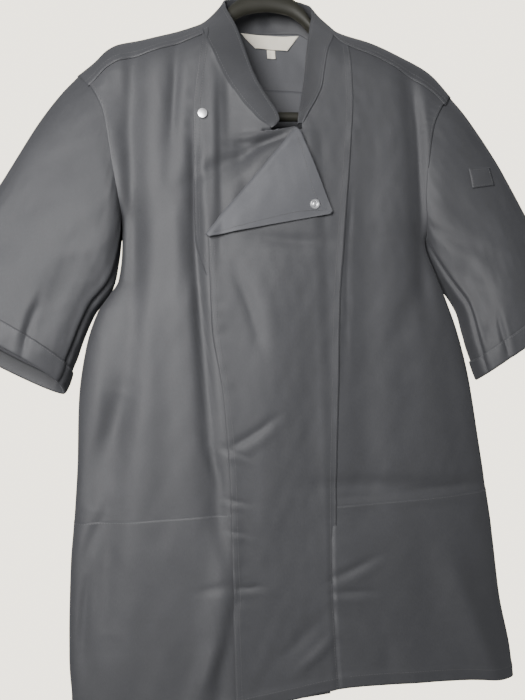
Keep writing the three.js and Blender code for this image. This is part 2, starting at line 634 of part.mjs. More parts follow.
// The (u, v) of a patch where it passes a given x and z.
function locate(patch, x, z, [u0, v0]) {
  let [u, v] = [u0, v0];
  for (let i = 0; i < 12; i += 1) {
    const here = patch(u, v);
    const across = patch(u + STEP, v).sub(here).divideScalar(STEP);
    const down = patch(u, v + STEP).sub(here).divideScalar(STEP);
    const size = across.x * down.z - across.z * down.x;
    const [dx, dz] = [x - here.x, z - here.z];
    u += (dx * down.z - dz * down.x) / size;
    v += (dz * across.x - dx * across.z) / size;
  }
  return [u, v];
}

// Sleeve patch: a small stitched piece on the right sleeve
const PATCH_CORNERS = { topLeft: [223, -268], topRight: [251, -266], lowLeft: [226, -292], lowRight: [255, -288] };
const sleevePatch = (u, v) => {
  const { topLeft, topRight, lowLeft, lowRight } = PATCH_CORNERS;
  const corner = (axis) => lerp(lerp(topLeft[axis], topRight[axis], u), lerp(lowLeft[axis], lowRight[axis], u), v);
  const [s, t] = locate(sleeves.right.sleeve, corner(0), corner(1), [0.8, 0.2]);
  return sleeves.right.sleeve(s, t);
};
add('sleeve_patch', wall(lifted(sleevePatch, LAYER), { columns: 4, rows: 3 }), 'twill');

// Neck label and size tab, sewn to the inside of the yoke
const LABEL_WALL = 0.7;
const LABELS = {
  neck_label: { top: [-28, 43, -87], bottom: [-11, 32, -103] },
  size_tab: { top: [3.5, 13.5, -103.4], bottom: [3.5, 13.5, -113] },
};
for (const [name, { top, bottom }] of Object.entries(LABELS)) {
  const inside = (u, v) => {
    const x = lerp(lerp(top[0], top[1], u), lerp(bottom[0], bottom[1], u), v);
    const z = lerp(top[2], bottom[2], v);
    return bodyPoint(turnOf(x, z), z, 1);
  };
  const shape = lifted(inside, CLOTH + 0.4 + LABEL_WALL);
  add(name, wall(shape, { columns: name === 'neck_label' ? 6 : 2, rows: 2, thickness: LABEL_WALL }), 'label');
}

// Snaps: turned parts seated on the cloth, facing out along its normal
const SNAP_SIDES = 18;
const STUD = [[0, 0], [5.2, 0], [5.2, 0.7], [4.5, 1.4], [3, 1.2], [2, 1.4], [1.8, 2.7], [1.1, 3.2], [0, 3.2]];
const SOCKET = [[0, 0], [5.5, 0], [5.7, 0.8], [5, 1.7], [3.7, 1.9], [2.8, 1.5], [2.5, 0.8], [0, 0.8]];
function snap(name, profile, patch, x, z, guess) {
  const [u, v] = locate(patch, x, z, guess);
  const geometry = new THREE.LatheGeometry(profile.map(([r, h]) => new THREE.Vector2(r, h)), SNAP_SIDES);
  const normal = normalOf(patch, u, v);
  const mesh = add(name, geometry, 'steel');
  mesh.quaternion.setFromUnitVectors(new THREE.Vector3(0, 1, 0), normal);
  mesh.position.copy(patch(u, v)).addScaledVector(normal, SEAM + 0.15);
}
snap('snap_stud', STUD, underFront, -87, -208, [0.15, 0.15]);
snap('snap_socket', SOCKET, flap, 32.4, -310.8, [0.6, 0.75]);

// Hanger: arms under the shoulders, an arch over the neck, a trouser bar and a wire hook
const ARM = { height: 14, depth: 15, clearance: 2.4 };
const ARCH = [
  { x: -68, z: -99, half: 8 }, { x: -56, z: -88.5, half: 9.5 }, { x: -43, z: -75, half: 10.5 },
  { x: -24, z: -64, half: 11 }, { x: 0, z: -60.5, half: 11 }, { x: 24, z: -64, half: 11 },
  { x: 42, z: -76.5, half: 10.5 }, { x: 54, z: -93.3, half: 9 }, { x: 66, z: -103, half: 7.5 },
];
const armCentre = (x) => RIDGE.z(x) - CLOTH - ARM.clearance - ARM.height / 2;
const armRow = (x) => ({ x, z: armCentre(x), half: ARM.height / 2 });
const HANGER_PATH = [
  ...[-178, -160, -135, -110, -86].map(armRow), ...ARCH, ...[84, 108, 134, 158, 178].map(armRow),
];
function octagon(centre, along, half, depth) {
  const up = new THREE.Vector3(-along.z, 0, along.x);
  const [top, side] = [half, depth / 2];
  const corner = Math.min(top, side) * 0.55;
  const outline = [
    [-side + corner, top], [side - corner, top], [side, top - corner], [side, -top + corner],
    [side - corner, -top], [-side + corner, -top], [-side, -top + corner], [-side, top - corner],
  ];
  return outline.map(([y, h]) => centre.clone().addScaledVector(up, h).add(new THREE.Vector3(0, y, 0)));
}
function rail(path, depth) {
  return bar(path.map((row, i) => {
    const [before, after] = [path[Math.max(i - 1, 0)], path[Math.min(i + 1, path.length - 1)]];
    const along = new THREE.Vector3(after.x - before.x, 0, after.z - before.z).normalize();
    return octagon(new THREE.Vector3(row.x, 0, row.z), along, row.half, depth);
  }));
}
add('hanger', rail(HANGER_PATH, ARM.depth), 'plastic');

const BAR_HALF = 5.5;
const BAR_HEIGHT = -195.5;
const BAR_END = { left: -158, right: 156 };
const BAR_BEND = 22;
const BAR_DROP = 3.5;           // the bar's ends meet the sloping underside of the arms
function barPath() {
  const under = (x) => armCentre(x) - ARM.height / 2 - BAR_DROP;
  const rows = [{ x: BAR_END.left, z: under(BAR_END.left) }];
  for (let i = 0; i <= 4; i += 1) {
    const turn = radians(90 * i / 4);
    rows.push({
      x: BAR_END.left + BAR_BEND * (1 - Math.cos(turn)), z: BAR_HEIGHT + BAR_BEND * (1 - Math.sin(turn)),
    });
  }
  for (let i = 4; i >= 0; i -= 1) {
    const turn = radians(90 * i / 4);
    rows.push({
      x: BAR_END.right - BAR_BEND * (1 - Math.cos(turn)), z: BAR_HEIGHT + BAR_BEND * (1 - Math.sin(turn)),
    });
  }
  rows.push({ x: BAR_END.right, z: under(BAR_END.right) });
  return rows.map((row) => ({ ...row, half: BAR_HALF }));
}
add('trouser_bar', rail(barPath(), 2 * BAR_HALF), 'plastic');

const WIRE = 2;
const HOOK_RADIUS = 16;         // inside
function hookPath() {
  const ring = HOOK_RADIUS + WIRE;
  const rows = [{ x: 0, z: -49.1 }, { x: 0, z: -44 }, { x: 2.6, z: -39 }];
  for (let degrees = -60; degrees <= 195; degrees += 17) {
    rows.push({
      x: ring * Math.cos(radians(degrees)), z: -HOOK_RADIUS + ring * Math.sin(radians(degrees)),
    });
  }
  return rows.map((row) => ({ ...row, half: WIRE }));
}
add('hook', rail(hookPath(), 2 * WIRE), 'steel');

export default jacket;
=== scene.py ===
"""Chef jacket on a plastic hanger, with the top corner of its front folded down.

Cloth shells, stitching, snaps, labels and the hanger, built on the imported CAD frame.
Measures are in millimetres in the row's frame; left and right are the viewer's.
"""

import math

import bmesh
import bpy
import numpy as np
from mathutils import Matrix, Vector


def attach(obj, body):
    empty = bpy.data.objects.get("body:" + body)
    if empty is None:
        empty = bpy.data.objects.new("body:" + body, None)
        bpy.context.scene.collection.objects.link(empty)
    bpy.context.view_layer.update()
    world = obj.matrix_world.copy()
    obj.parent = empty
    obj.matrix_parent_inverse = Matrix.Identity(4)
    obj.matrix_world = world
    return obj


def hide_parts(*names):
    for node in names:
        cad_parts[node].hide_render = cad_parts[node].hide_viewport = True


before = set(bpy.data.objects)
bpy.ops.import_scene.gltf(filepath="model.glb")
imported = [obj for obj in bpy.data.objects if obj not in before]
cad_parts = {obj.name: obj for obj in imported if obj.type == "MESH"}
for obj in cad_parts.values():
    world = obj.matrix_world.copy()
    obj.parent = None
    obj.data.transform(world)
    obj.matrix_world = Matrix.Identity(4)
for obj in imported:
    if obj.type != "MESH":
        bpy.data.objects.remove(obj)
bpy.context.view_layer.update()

MM = 0.001
CLOTH = 1.1            # one layer of twill with its turnings
COLLAR_WALL = 2.2
SEAM = 0.3
LAYER = 1.3            # one layer lying on another
OVERLAP_LAYER = 2.4    # the overlap over the under front
SUNK = 1.6             # extra depth of the cloth that the overlap hides
LAP = 5                # how far a seam's under piece reaches below the upper one
LAP_LIFT = 0.9         # height of the upper piece's edge above the under piece
SHOULDER_ROLL = 60     # radius of the cloth's bend over the shoulder
SECTION_POWER = 0.55   # how squarely the body's section turns at the sides
VENT_TOP = -780
VENT_RUN = 90          # height over which a vent opens
# radians by which an open vent's edges stay short of the side
FRONT_VENT_TURN = {"left": 0.26, "right": 0.12}
BACK_VENT_TURN = 0.02
COLLAR_END_Z = -228    # height of the collar's front ends
FOLD_CORNER_Z = -343   # height of the fold's lower corner
POCKET_TOP = -650
HEM_HEIGHT = 14
HEM_STITCH = 13        # distances of the stitch rows from an edge
EDGE_STITCH = 2
SECOND_STITCH = 7.5
STEP = 3e-3            # the small step in (u, v) that gives a surface's slope
TURN = 2 * math.pi


# Shape tables, in mm, as in the source of the solids


def curve(keys, values):
    """A smooth line through (keys, values) that never passes a row's value."""
    rise = np.diff(values) / np.diff(keys)
    slope = np.empty(len(keys))
    slope[0], slope[-1] = rise[0], rise[-1]
    before, after = rise[:-1], rise[1:]
    same_way = before * after > 0
    total = np.where(same_way, before + after, 1)
    slope[1:-1] = np.where(same_way, 2 * before * after / total, 0)

    def at(key):
        key = np.clip(key, keys[0], keys[-1])
        i = np.clip(np.searchsorted(keys, key) - 1, 0, len(keys) - 2)
        width = keys[i + 1] - keys[i]
        t = (key - keys[i]) / width
        return (
            values[i] * (2 * t**3 - 3 * t**2 + 1)
            + slope[i] * width * (t**3 - 2 * t**2 + t)
            + values[i + 1] * (3 * t**2 - 2 * t**3)
            + slope[i + 1] * width * (t**3 - t**2)
        )

    return at


def table(columns, rows):
    """Each named column as a smooth function of the first one."""
    ordered = np.array(sorted(rows), float)
    return {name: curve(ordered[:, 0], ordered[:, i + 1]) for i, name in enumerate(columns[1:])}


BODY = table(
    ("z", "left", "right", "front", "back"),
    [
        (-90, 246, 246, 46, 36),
        (-172, 243, 246, 47, 38),
        (-230, 236, 238, 49, 40),
        (-280, 213, 222, 50, 41),
        (-320, 180, 200, 50, 41),
        (-352, 181.5, 178, 50, 41),
        (-385, 187, 188, 49, 41),
        (-400, 197, 194, 49, 41),
        (-420, 211.5, 201, 49, 41),
        (-460, 226, 214, 48, 40),
        (-516, 236, 226, 47, 39),
        (-590, 241, 235, 46, 38),
        (-650, 247, 242, 45, 38),
        (-715, 253, 247, 45, 37),
        (-781, 257, 252, 45, 36),
        (-850, 259, 263, 45, 35),
        (-885, 259, 265, 45, 35),
    ],
)
RIDGE = table(
    ("x", "z"),
    [(-222, -153), (-203, -138), (-187, -123), (-175, -117), (-143, -110), (-82, -92), (-60, -78),
     (-30, -51), (8, -38), (42, -60), (64, -85), (78, -96), (119, -108), (160, -125), (191, -141),
     (222, -172)],
)["z"]
HEM = table(
    ("x", "z"),
    [(-262, -868), (-120, -868), (-19, -860), (43, -855), (109, -859), (214, -870), (265, -880)],
)["z"]
BACK_YOKE = table(
    ("x", "z"),
    [(-196, -197), (-150, -172), (-90, -152), (0, -148), (90, -154), (150, -176), (190, -207)],
)["z"]
ARMHOLE = {
    "left": table(
        ("z", "x"),
        [(-153, -222), (-162, -216), (-173, -207), (-205, -194), (-238, -190), (-273, -186), (-320, -180)],
    )["x"],
    "right": table(
        ("z", "x"),
        [(-172, 222), (-180, 211), (-193, 197), (-219, 184), (-253, 177), (-300, 173), (-352, 178)],
    )["x"],
}
SHOULDER_POINT = {"left": -153, "right": -172}
UNDERARM = {"left": -320, "right": -352}
PRINCESS_LEFT = table(
    ("z", "x"),
    [(-112, -80), (-161, -90), (-205, -96), (-342, -99), (-420, -78), (-520, -54), (-620, -46),
     (-870, -50)],
)["x"]
PRINCESS_RIGHT = table(
    ("z", "x"),
    [(-118, 84), (-180, 84), (-237, 79), (-350, 66), (-418, 58), (-530, 51), (-620, 45), (-754, 40),
     (-870, 42)],
)["x"]
OVERLAP_EDGE = table(
    ("z", "x"),
    [(-228, 17), (-256, -9), (-300, -49), (-336, -82), (-343, -87), (-435, -87), (-523, -78), (-621, -75),
     (-720, -77), (-870, -80)],
)["x"]
ROWS = 28
COLLAR_END_V = 6 / ROWS
FOLD_CORNER_V = 10 / ROWS
POCKET_V = 20 / ROWS
UNDER_EDGE = table(
    ("v", "x", "z"),
    [(COLLAR_END_V, -12.3, -227), (7 / ROWS, 18, -222), (8 / ROWS, 24, -262), (FOLD_CORNER_V, 27, -343),
     (POCKET_V, 28, -650), (1, 28, -860)],
)
COLLAR = table(
    ("t", "x", "bend", "top_x", "top_y", "top_z"),
    [
        (0.00, -10, -206, -5, -46, -220),
        (0.02, -14, -202, -1, -45, -213),
        (0.05, -21, -195, -2, -42, -205),
        (0.11, -38, -167, -11, -38, -187),
        (0.18, -56, -124, -24, -34, -161),
        (0.24, -70, -88, -32, -31, -135),
        (0.30, -80, -50, -41, -25, -103),
        (0.35, -82, 0, -52, -12, -71),
        (0.39, -74, 27, -51, 8, -56),
        (0.43, -56, 48, -41, 20, -48),
        (0.47, -28, 64, -23, 28, -43),
        (0.52, 8, 74, 6, 31, -41),
        (0.57, 42, 53, 34, 26, -44),
        (0.61, 62, 40, 47, 14, -53),
        (0.65, 75, 0, 51, -10, -71),
        (0.70, 68, -50, 46, -18, -92),
        (0.77, 56, -90, 41, -20, -116),
        (0.87, 47, -138, 34, -21, -162),
        (0.96, 29, -184, 26, -22, -200),
        (1.00, 23, -199, 24, -24, -212),
    ],
)
NECK_FROM, NECK_TO = 0.30, 0.70     # the part of the collar that stands on the yoke

# Broad creases of the solids: a line from (x, z) to (x, z), a half width and a depth inwards
FRONT_CREASES = [
    (-158, -150, -168, -345, 13, 7),
    (-168, -345, -200, -600, 16, 7),
    (-112, -140, -120, -225, 11, 4),
    (-98, -250, -104, -350, 10, 5),
    (-104, -350, -92, -640, 12, 6),
    (-58, -190, -72, -335, 10, 5),
    (-66, -262, -38, -248, 9, 5),
    (-215, -690, -236, -790, 14, 6),
    (-92, -740, -120, -860, 13, -5),
    (158, -190, 166, -400, 12, 6),
    (70, -628, 205, -640, 10, 3.5),
    (-20, -400, -40, -640, 30, -4),
    (95, -330, 85, -600, 22, 4),
    (190, -760, 232, -870, 20, -8),
]
BACK_CREASES = [
    (-150, -240, -170, -420, 15, 6),
    (150, -250, 165, -440, 15, 6),
    (-90, -500, -120, -850, 22, 5),
    (10, -330, 25, -700, 24, 5),
    (120, -560, 140, -860, 22, 6),
]
CREASE_FADE = 45

# Finer folds: a line, its bow to the left of its way, a half width, a depth inwards
# and the bank thrown up beside it, whose sign gives its side
FRONT_FOLDS = [
    # left side front
    (-163, -150, -168, -330, 2, 7, 2.4, 1.2),
    (-180, -158, -174, -250, 0, 10, 4.2, 0),
    (-168, -318, -172, -470, -2, 9, 2.2, 1.0),
    (-182, -350, -204, -540, 4, 10, 1.8, 0.8),
    (-186, -513, -231, -634, 3, 17, 9.5, 1.6),
    (-212, -640, -243, -708, 2, 8, 5.0, 1.6),
    (-233, -706, -243, -785, 1, 7, 6.0, -2.4),
    (-113, -145, -121, -222, 0, 5, 2.0, -0.9),
    (-128, -300, -138, -560, 5, 16, 1.6, 0),
    (-140, -500, -158, -680, -5, 15, 1.4, 0.6),
    (-80, -735, -95, -790, 0, 5.5, -3.6, 0),
    (-93, -785, -117, -835, 0, 6.5, -3.8, 0),
    (-110, -731, -82, -725, 1, 5, 1.4, 0),
    (-76, -742, -98, -850, 3, 7, 3.6, 0),
    (-168, -740, -192, -860, -3, 14, 1.2, 0.5),
    (-208, -650, -216, -770, 0, 18, 4.0, 0),
    # beside the overlap's edge
    (-98, -250, -99, -330, 0, 5, 4.2, -1.8),
    (-99, -320, -99, -432, 0, 5, 4.6, 1.8),
    (-98, -425, -95, -545, 0, 5.5, 4.0, 1.6),
    (-95, -575, -83, -628, 0, 5, 3.4, 1.4),
    (-90, -630, -80, -720, 0, 5, 2.0, 1.0),
    # under front
    (-45, -205, -47, -292, 0, 13, 6.0, 0),
    (-68, -188, -72, -305, 0, 4, 1.6, 0.8),
    (-80, -205, -88, -325, -2, 7, 1.6, -0.6),
    (-42, -252, 6, -231, -2, 4.6, 7.4, 2.6),
    (-54, -240, -14, -237, 0, 5, 4.0, 0.8),
    (-60, -275, -14, -248, -3, 6, 2.6, 1.4),
    (-66, -316, -30, -282, 2, 7, 1.8, 0.8),
    # overlap
    (-59, -384, -36, -462, -3, 8, 3.4, -1.6),
    (-73, -575, -28, -549, 2, 5, 2.6, 1.2),
    (-75, -578, -57, -586, 0, 3, 1.8, 0.9),
    (-76, -633, -60, -638, 0, 3, 1.8, 0.9),
    (-74, -668, -60, -672, 0, 3, 1.2, 0.6),
    (-74, -730, -48, -731, 1, 3.5, 1.7, 0.7),
    (-5, -826, 29, -799, 1, 6, -2.2, 0),
    (-26, -812, 16, -775, 1, 8, 1.6, 0),
    (-30, -345, 40, -352, 2, 8, 3.2, 0),
    (30, -440, 22, -640, 3, 14, 1.6, 0.6),
    (-50, -590, -58, -700, 2, 14, 1.2, 0.5),
    # right side front
    (163, -182, 166, -275, -1, 5, 3.0, -1.4),
    (166, -265, 168, -350, 0, 5.5, 3.0, -1.2),
    (174, -362, 120, -470, -6, 12, 1.6, 0.8),
    (110, -200, 104, -330, 2, 16, 1.0, 0),
    (76, -318, 67, -404, 1, 2.4, 1.8, 0.7),
    (67, -398, 63, -462, -1, 2.4, 2.2, 0.8),
    (62, -455, 58, -520, 0.5, 2.2, 1.6, 0.6),
    (134, -420, 128, -600, -4, 18, 1.4, 0.5),
    (188, -450, 206, -620, 4, 14, 1.4, 0.6),
    (123, -641, 208, -641, 1, 5, 2.6, 1.2),
    (46, -640, 90, -644, 0, 4, 1.4, 0.7),
    (42, -729, 82, -714, 1, 4.5, 2.8, 1.2),
    (40, -747, 78, -750, 0, 4, 2.0, 0.9),
    (41, -768, 70, -790, -1, 6, 1.6, 0.7),
    (92, -800, 100, -852, 0, 9, 1.6, 0),
    (150, -690, 160, -850, 3, 18, 1.4, 0.6),
    (196, -766, 238, -868, 3, 10, -2.4, 0),
]
BACK_FOLDS = [
    (-146, -230, -172, -430, 4, 7, 2.6, 1.2),
    (150, -240, 168, -450, -4, 7, 2.6, -1.2),
    (-178, -345, -120, -470, 5, 8, 2.2, 1.0),
    (178, -370, 122, -490, -5, 8, 2.2, -1.0),
    (-88, -480, -122, -850, 6, 12, 2.6, 1.2),
    (8, -300, 26, -700, -6, 13, 2.4, -1.0),
    (118, -540, 142, -860, 5, 12, 2.6, 1.2),
    (-30, -520, -46, -860, 4, 14, 2.0, 0.8),
    (70, -560, 62, -850, -4, 14, 1.8, 0.8),
    (-200, -500, -226, -760, 4, 10, 2.2, -1.0),
    (204, -520, 228, -780, -4, 10, 2.2, 1.0),
    (-60, -190, -52, -330, 2, 12, 1.6, 0),
    (64, -190, 58, -320, 2, 12, 1.6, 0),
]


def lerp(a, b, share):
    return a + (b - a) * share


def smoothstep(value, low, high):
    t = np.clip((value - low) / (high - low), 0, 1)
    return t * t * (3 - 2 * t)


def hill(value, width):
    return np.exp(-((value / width) ** 2))


def pressed(creases, x, z):
    """Depth of the broad creases at (x, z)."""
    depth = np.zeros(np.broadcast(x, z).shape)
    for x0, z0, x1, z1, width, deep in creases:
        length = math.hypot(x1 - x0, z1 - z0)
        along = ((x - x0) * (x1 - x0) + (z - z0) * (z1 - z0)) / length
        across = ((x - x0) * (z1 - z0) - (z - z0) * (x1 - x0)) / length
        past = np.maximum(np.maximum(-along, along - length), 0)
        depth += deep * hill(across, width) * hill(past, CREASE_FADE)
    return depth


def folded(folds, x, z):
    """Depth of the finer folds at (x, z), each deepest near its middle."""
    depth = np.zeros(np.broadcast(x, z).shape)
    for x0, z0, x1, z1, bow, width, deep, bank in folds:
        length = math.hypot(x1 - x0, z1 - z0)
        along = ((x - x0) * (x1 - x0) + (z - z0) * (z1 - z0)) / length
        share = np.clip(along / length, 0, 1)
        across = ((x - x0) * (z1 - z0) - (z - z0) * (x1 - x0)) / length - bow * 4 * share * (1 - share)
        past = np.maximum(np.maximum(-along, along - length), 0)
        fade = hill(past, 6 + 0.15 * length) * (0.45 + 0.55 * np.sin(math.pi * share) ** 0.6)
        side = math.copysign(1.9 * width, bank)
        depth += fade * (deep * hill(across, width) - abs(bank) * hill(across - side, 1.3 * width))
    return depth


# Slow waves and a fine unevenness, the same on each run
RANDOM = np.random.default_rng(41)


def ripples(count, shortest, longest, amount):
    """Sine waves in random ways: each a way, a length, a start and an amount."""
    return [
        (RANDOM.uniform(0, TURN), RANDOM.uniform(shortest, longest), RANDOM.uniform(0, TURN), amount)
        for _ in range(count)
    ]


WAVES = ripples(7, 60, 150, 0.2)
RUMPLES = ripples(22, 13, 34, 0.03)


def uneven(x, z):
    """Height of cloth that was never pressed quite flat."""
    height = np.zeros(np.broadcast(x, z).shape)
    for way, length, start, amount in WAVES + RUMPLES:
        height += amount * np.sin((x * math.cos(way) + z * math.sin(way) * 0.6) * TURN / length + start)
    return height


# The body's surface


def hang(below):
    """Share of the body's full depth at a height below the shoulder's ridge."""
    turn = np.clip(1 - below / SHOULDER_ROLL, 0, 1)
    return np.sqrt(1 - turn * turn)


def half_width(z, x):
    return np.where(x < 0, BODY["left"](z), BODY["right"](z))


def turn_of(x, z):
    return np.arcsin(np.clip(x / half_width(z, x), -1, 1))


def body_point(turn, z, side):
    """A point of the body's outer face, by the turn round it and its height; side is -1 at the front."""
    turn, z = np.broadcast_arrays(np.asarray(turn, float), np.asarray(z, float))
    x = half_width(z, turn) * np.sin(turn)
    depths = {}
    for way, name, creases, folds in (
        (-1, "front", FRONT_CREASES, FRONT_FOLDS),
        (1, "back", BACK_CREASES, BACK_FOLDS),
    ):
        if np.any(np.asarray(side) == way):
            depths[way] = BODY[name](z) - pressed(creases, x, z) - folded(folds, x, z)
    if np.ndim(side) == 0:
        full = depths[int(side)]
    else:
        full = np.where(side < 0, depths.get(-1, 0), depths.get(1, 0))
    full = full + uneven(x + 7 * np.sign(side), z)
    edge = np.abs(np.cos(turn)) ** SECTION_POWER
    depth = full * edge * hang(RIDGE(x) - z)
    return np.stack([x, side * np.maximum(depth, SEAM / 2), z], -1)


def drop_of(bend):
    """How far an angle over the shoulder lies below its ridge, in shoulder radii."""
    return np.where(bend < 90, 1 - np.cos(np.radians(bend)), 1 + np.radians(bend - 90))


def shoulder_point(x, bend):
    """The body's point at x, over the shoulder by an angle: negative to the front."""
    z = RIDGE(x) - SHOULDER_ROLL * drop_of(np.abs(bend))
    point = body_point(turn_of(x, z), z, np.where(bend < 0, -1, 1))
    point[..., 1] = np.where(np.abs(bend) < 0.2, 0, point[..., 1])
    return point


def bend_at(x, z):
    share = (RIDGE(x) - z) / SHOULDER_ROLL
    return np.where(share < 1, np.degrees(np.arccos(np.clip(1 - share, -1, 1))), 90 + np.degrees(share - 1))


# The yoke's forward seams: x at the neck and at the armhole, and the angles over the shoulder there
FRONT_YOKE = {"left": ((-80, -209.5), (50, 57.5)), "right": ((68, 201), (50.5, 68.5))}


def front_yoke_height(x):
    bends = []
    for ends, bend in FRONT_YOKE.values():
        bends.append(lerp(bend[0], bend[1], (x - ends[0]) / (ends[1] - ends[0])))
    return RIDGE(x) - SHOULDER_ROLL * drop_of(np.where(x < 0, bends[0], bends[1]))


def row_height(v, top, bottom):
    """The height at v between a top and a bottom, through the heights that the front panels share."""
    above = lerp(top, COLLAR_END_Z, v / COLLAR_END_V)
    to_fold = lerp(COLLAR_END_Z, FOLD_CORNER_Z, (v - COLLAR_END_V) / (FOLD_CORNER_V - COLLAR_END_V))
    to_pocket = lerp(FOLD_CORNER_Z, POCKET_TOP, (v - FOLD_CORNER_V) / (POCKET_V - FOLD_CORNER_V))
    below = lerp(POCKET_TOP, bottom, (v - POCKET_V) / (1 - POCKET_V))
    cuts = [v <= COLLAR_END_V, v <= FOLD_CORNER_V, v <= POCKET_V]
    return np.select(cuts, [above, to_fold, to_pocket], below)


def panel(left, right, top, bottom, side=-1, height=row_height):
    """A patch between a left and a right line (x by height) and a top and a bottom line (height by x)."""

    def turn_at(u, z):
        return lerp(turn_of(left(z), z), turn_of(right(z), z), u)

    def height_on(line, u, start):
        z = np.full(np.shape(u), float(start))
        for _ in range(12):
            turn = turn_at(u, z)
            z = lerp(z, line(half_width(z, turn) * np.sin(turn)), 0.7)
        return z

    def patch(u, v):
        u, v = np.broadcast_arrays(np.asarray(u, float), np.asarray(v, float))
        across = np.unique(u)
        tops = np.interp(u, across, height_on(top, across, -160))
        bottoms = np.interp(u, across, height_on(bottom, across, -860))
        z = height(v, tops, bottoms)
        return body_point(turn_at(u, z), z, side)

    return patch


class Surface:
    """A grid of points on a face of cloth, u to the right and v downwards when seen from outside."""

    def __init__(self, points, ring=False, v=None):
        self.points, self.ring = points, ring
        rows, columns = points.shape[:2]
        self.u = np.linspace(0, 1, columns + 1)[:-1] if ring else np.linspace(0, 1, columns)
        self.v = np.linspace(0, 1, rows) if v is None else v
        if ring:
            across = np.roll(points, -1, 1) - np.roll(points, 1, 1)
        else:
            across = np.gradient(points, axis=1)
        normals = np.cross(np.gradient(points, axis=0), across)
        self.normals = normals / np.maximum(np.linalg.norm(normals, axis=-1, keepdims=True), 1e-9)

    def grid(self):
        return np.meshgrid(self.u, self.v)

    def sample(self, field, u, v):
        u, v = np.broadcast_arrays(np.asarray(u, float), np.asarray(v, float))
        rows, columns = field.shape[:2]
        row = np.interp(v, self.v, np.arange(rows))
        i = np.minimum(row.astype(int), rows - 2)
        a = (row - i)[..., None]
        column = u * columns if self.ring else np.clip(u, 0, 1) * (columns - 1)
        j = np.floor(column).astype(int)
        if not self.ring:
            j = np.minimum(j, columns - 2)
        b = (column - j)[..., None]
        left, right = j % columns, (j + 1) % columns
        above = field[i, left] * (1 - b) + field[i, right] * b
        below = field[i + 1, left] * (1 - b) + field[i + 1, right] * b
        return above * (1 - a) + below * a

    def at(self, u, v):
        return self.sample(self.points, u, v)

    def facing(self, u, v):
        normal = self.sample(self.normals, u, v)
        return normal / np.maximum(np.linalg.norm(normal, axis=-1, keepdims=True), 1e-9)

    def moved(self, lift):
        """The same surface moved out from its face by a height at each point of the grid."""
        lift = np.broadcast_to(lift, self.points.shape[:2])
        return Surface(self.points + self.normals * lift[..., None], self.ring, self.v)

    def part(self, columns, rows, v_from, v_to):
        u, v = np.meshgrid(np.linspace(0, 1, columns + 1), np.linspace(v_from, v_to, rows + 1))
        return Surface(self.at(u, v))

    def distance(self, edge):
        """Distance of each point of the grid from an edge, measured over the cloth."""
        axis = 1 if edge in ("left", "right") else 0
        travelled = lengths(self.points, axis) / MM
        if edge in ("right", "bottom"):
            travelled = np.take(travelled, [-1], axis=axis) - travelled
        return travelled


def surface(patch, columns, rows, v=None):
    u, down = np.meshgrid(np.linspace(0, 1, columns + 1), np.linspace(0, 1, rows + 1) if v is None else v)
    return Surface(patch(u, down), v=v)


def sunk(points):
    """The cloth under the overlap lies a little deeper."""
    x, z = points[..., 0], points[..., 2]
    under = smoothstep(x, OVERLAP_EDGE(z) - 3, OVERLAP_EDGE(z) + 8) * (z < -215)
    return points + np.array([0, SUNK, 0]) * under[..., None]


def side_line(hand, vent_turn):
    """A panel's outer line: the armhole, then the side seam, then the open vent's edge."""
    sign = -1 if hand == "left" else 1

    def line(z):
        vent = vent_turn * np.clip((VENT_TOP - z) / VENT_RUN, 0, 1)
        side = sign * (BODY[hand](z) * np.cos(vent) + SEAM / 2)
        return np.where(z > UNDERARM[hand], ARMHOLE[hand](z), side)

    return line


def hem_band(face):
    """A turned hem: the last stretch before the edge stands a little proud."""
    up = face.distance("bottom")
    return 0.6 * (1 - smoothstep(up, HEM_HEIGHT - 2, HEM_HEIGHT + 2)) + 0.35 * hill(up - HEM_HEIGHT, 4)


# Blender meshes


def new_object(name, mesh):
    thing = bpy.data.objects.new(name, mesh)
    bpy.context.scene.collection.objects.link(thing)
    return thing


def lengths(points, axis):
    """Distance travelled over a grid of points along one of its axes, in metres."""
    steps = np.linalg.norm(np.diff(points, axis=axis), axis=-1) * MM
    start = np.zeros_like(np.take(steps, [0], axis=axis))
    return np.concatenate([start, np.cumsum(steps, axis=axis)], axis=axis)


def grid_block(points, ring=False, edges=("left", "right", "top", "bottom")):
    """Vertices, faces, flat cloth coordinates and nearness to a seam of a grid of points."""
    rows, columns = points.shape[:2]
    closed = np.concatenate([points, points[:, :1]], 1) if ring else points
    right, down = lengths(closed, 1), lengths(closed, 0)
    right = right - right[:, closed.shape[1] // 2][:, None]
    distances = {
        "left": lengths(closed, 1),
        "right": lengths(closed, 1)[:, -1:] - lengths(closed, 1),
        "top": down,
        "bottom": down[-1:] - down,
    }
    near = np.zeros(closed.shape[:2])
    for edge in edges:
        near = np.maximum(near, np.exp(-distances[edge] / (3.5 * MM)))
    i, j = np.meshgrid(np.arange(rows - 1), np.arange(closed.shape[1] - 1), indexing="ij")
    i, j = i.ravel(), j.ravel()

    def corner(a, b):
        return a * columns + b % columns

    faces = np.stack([corner(i, j), corner(i + 1, j), corner(i + 1, j + 1), corner(i, j + 1)], 1)
    flat = np.stack([right, -down], -1)
    corners = [flat[i, j], flat[i + 1, j], flat[i + 1, j + 1], flat[i, j + 1]]
    return points.reshape(-1, 3), faces, np.stack(corners, 1), near[:, :columns].reshape(-1)


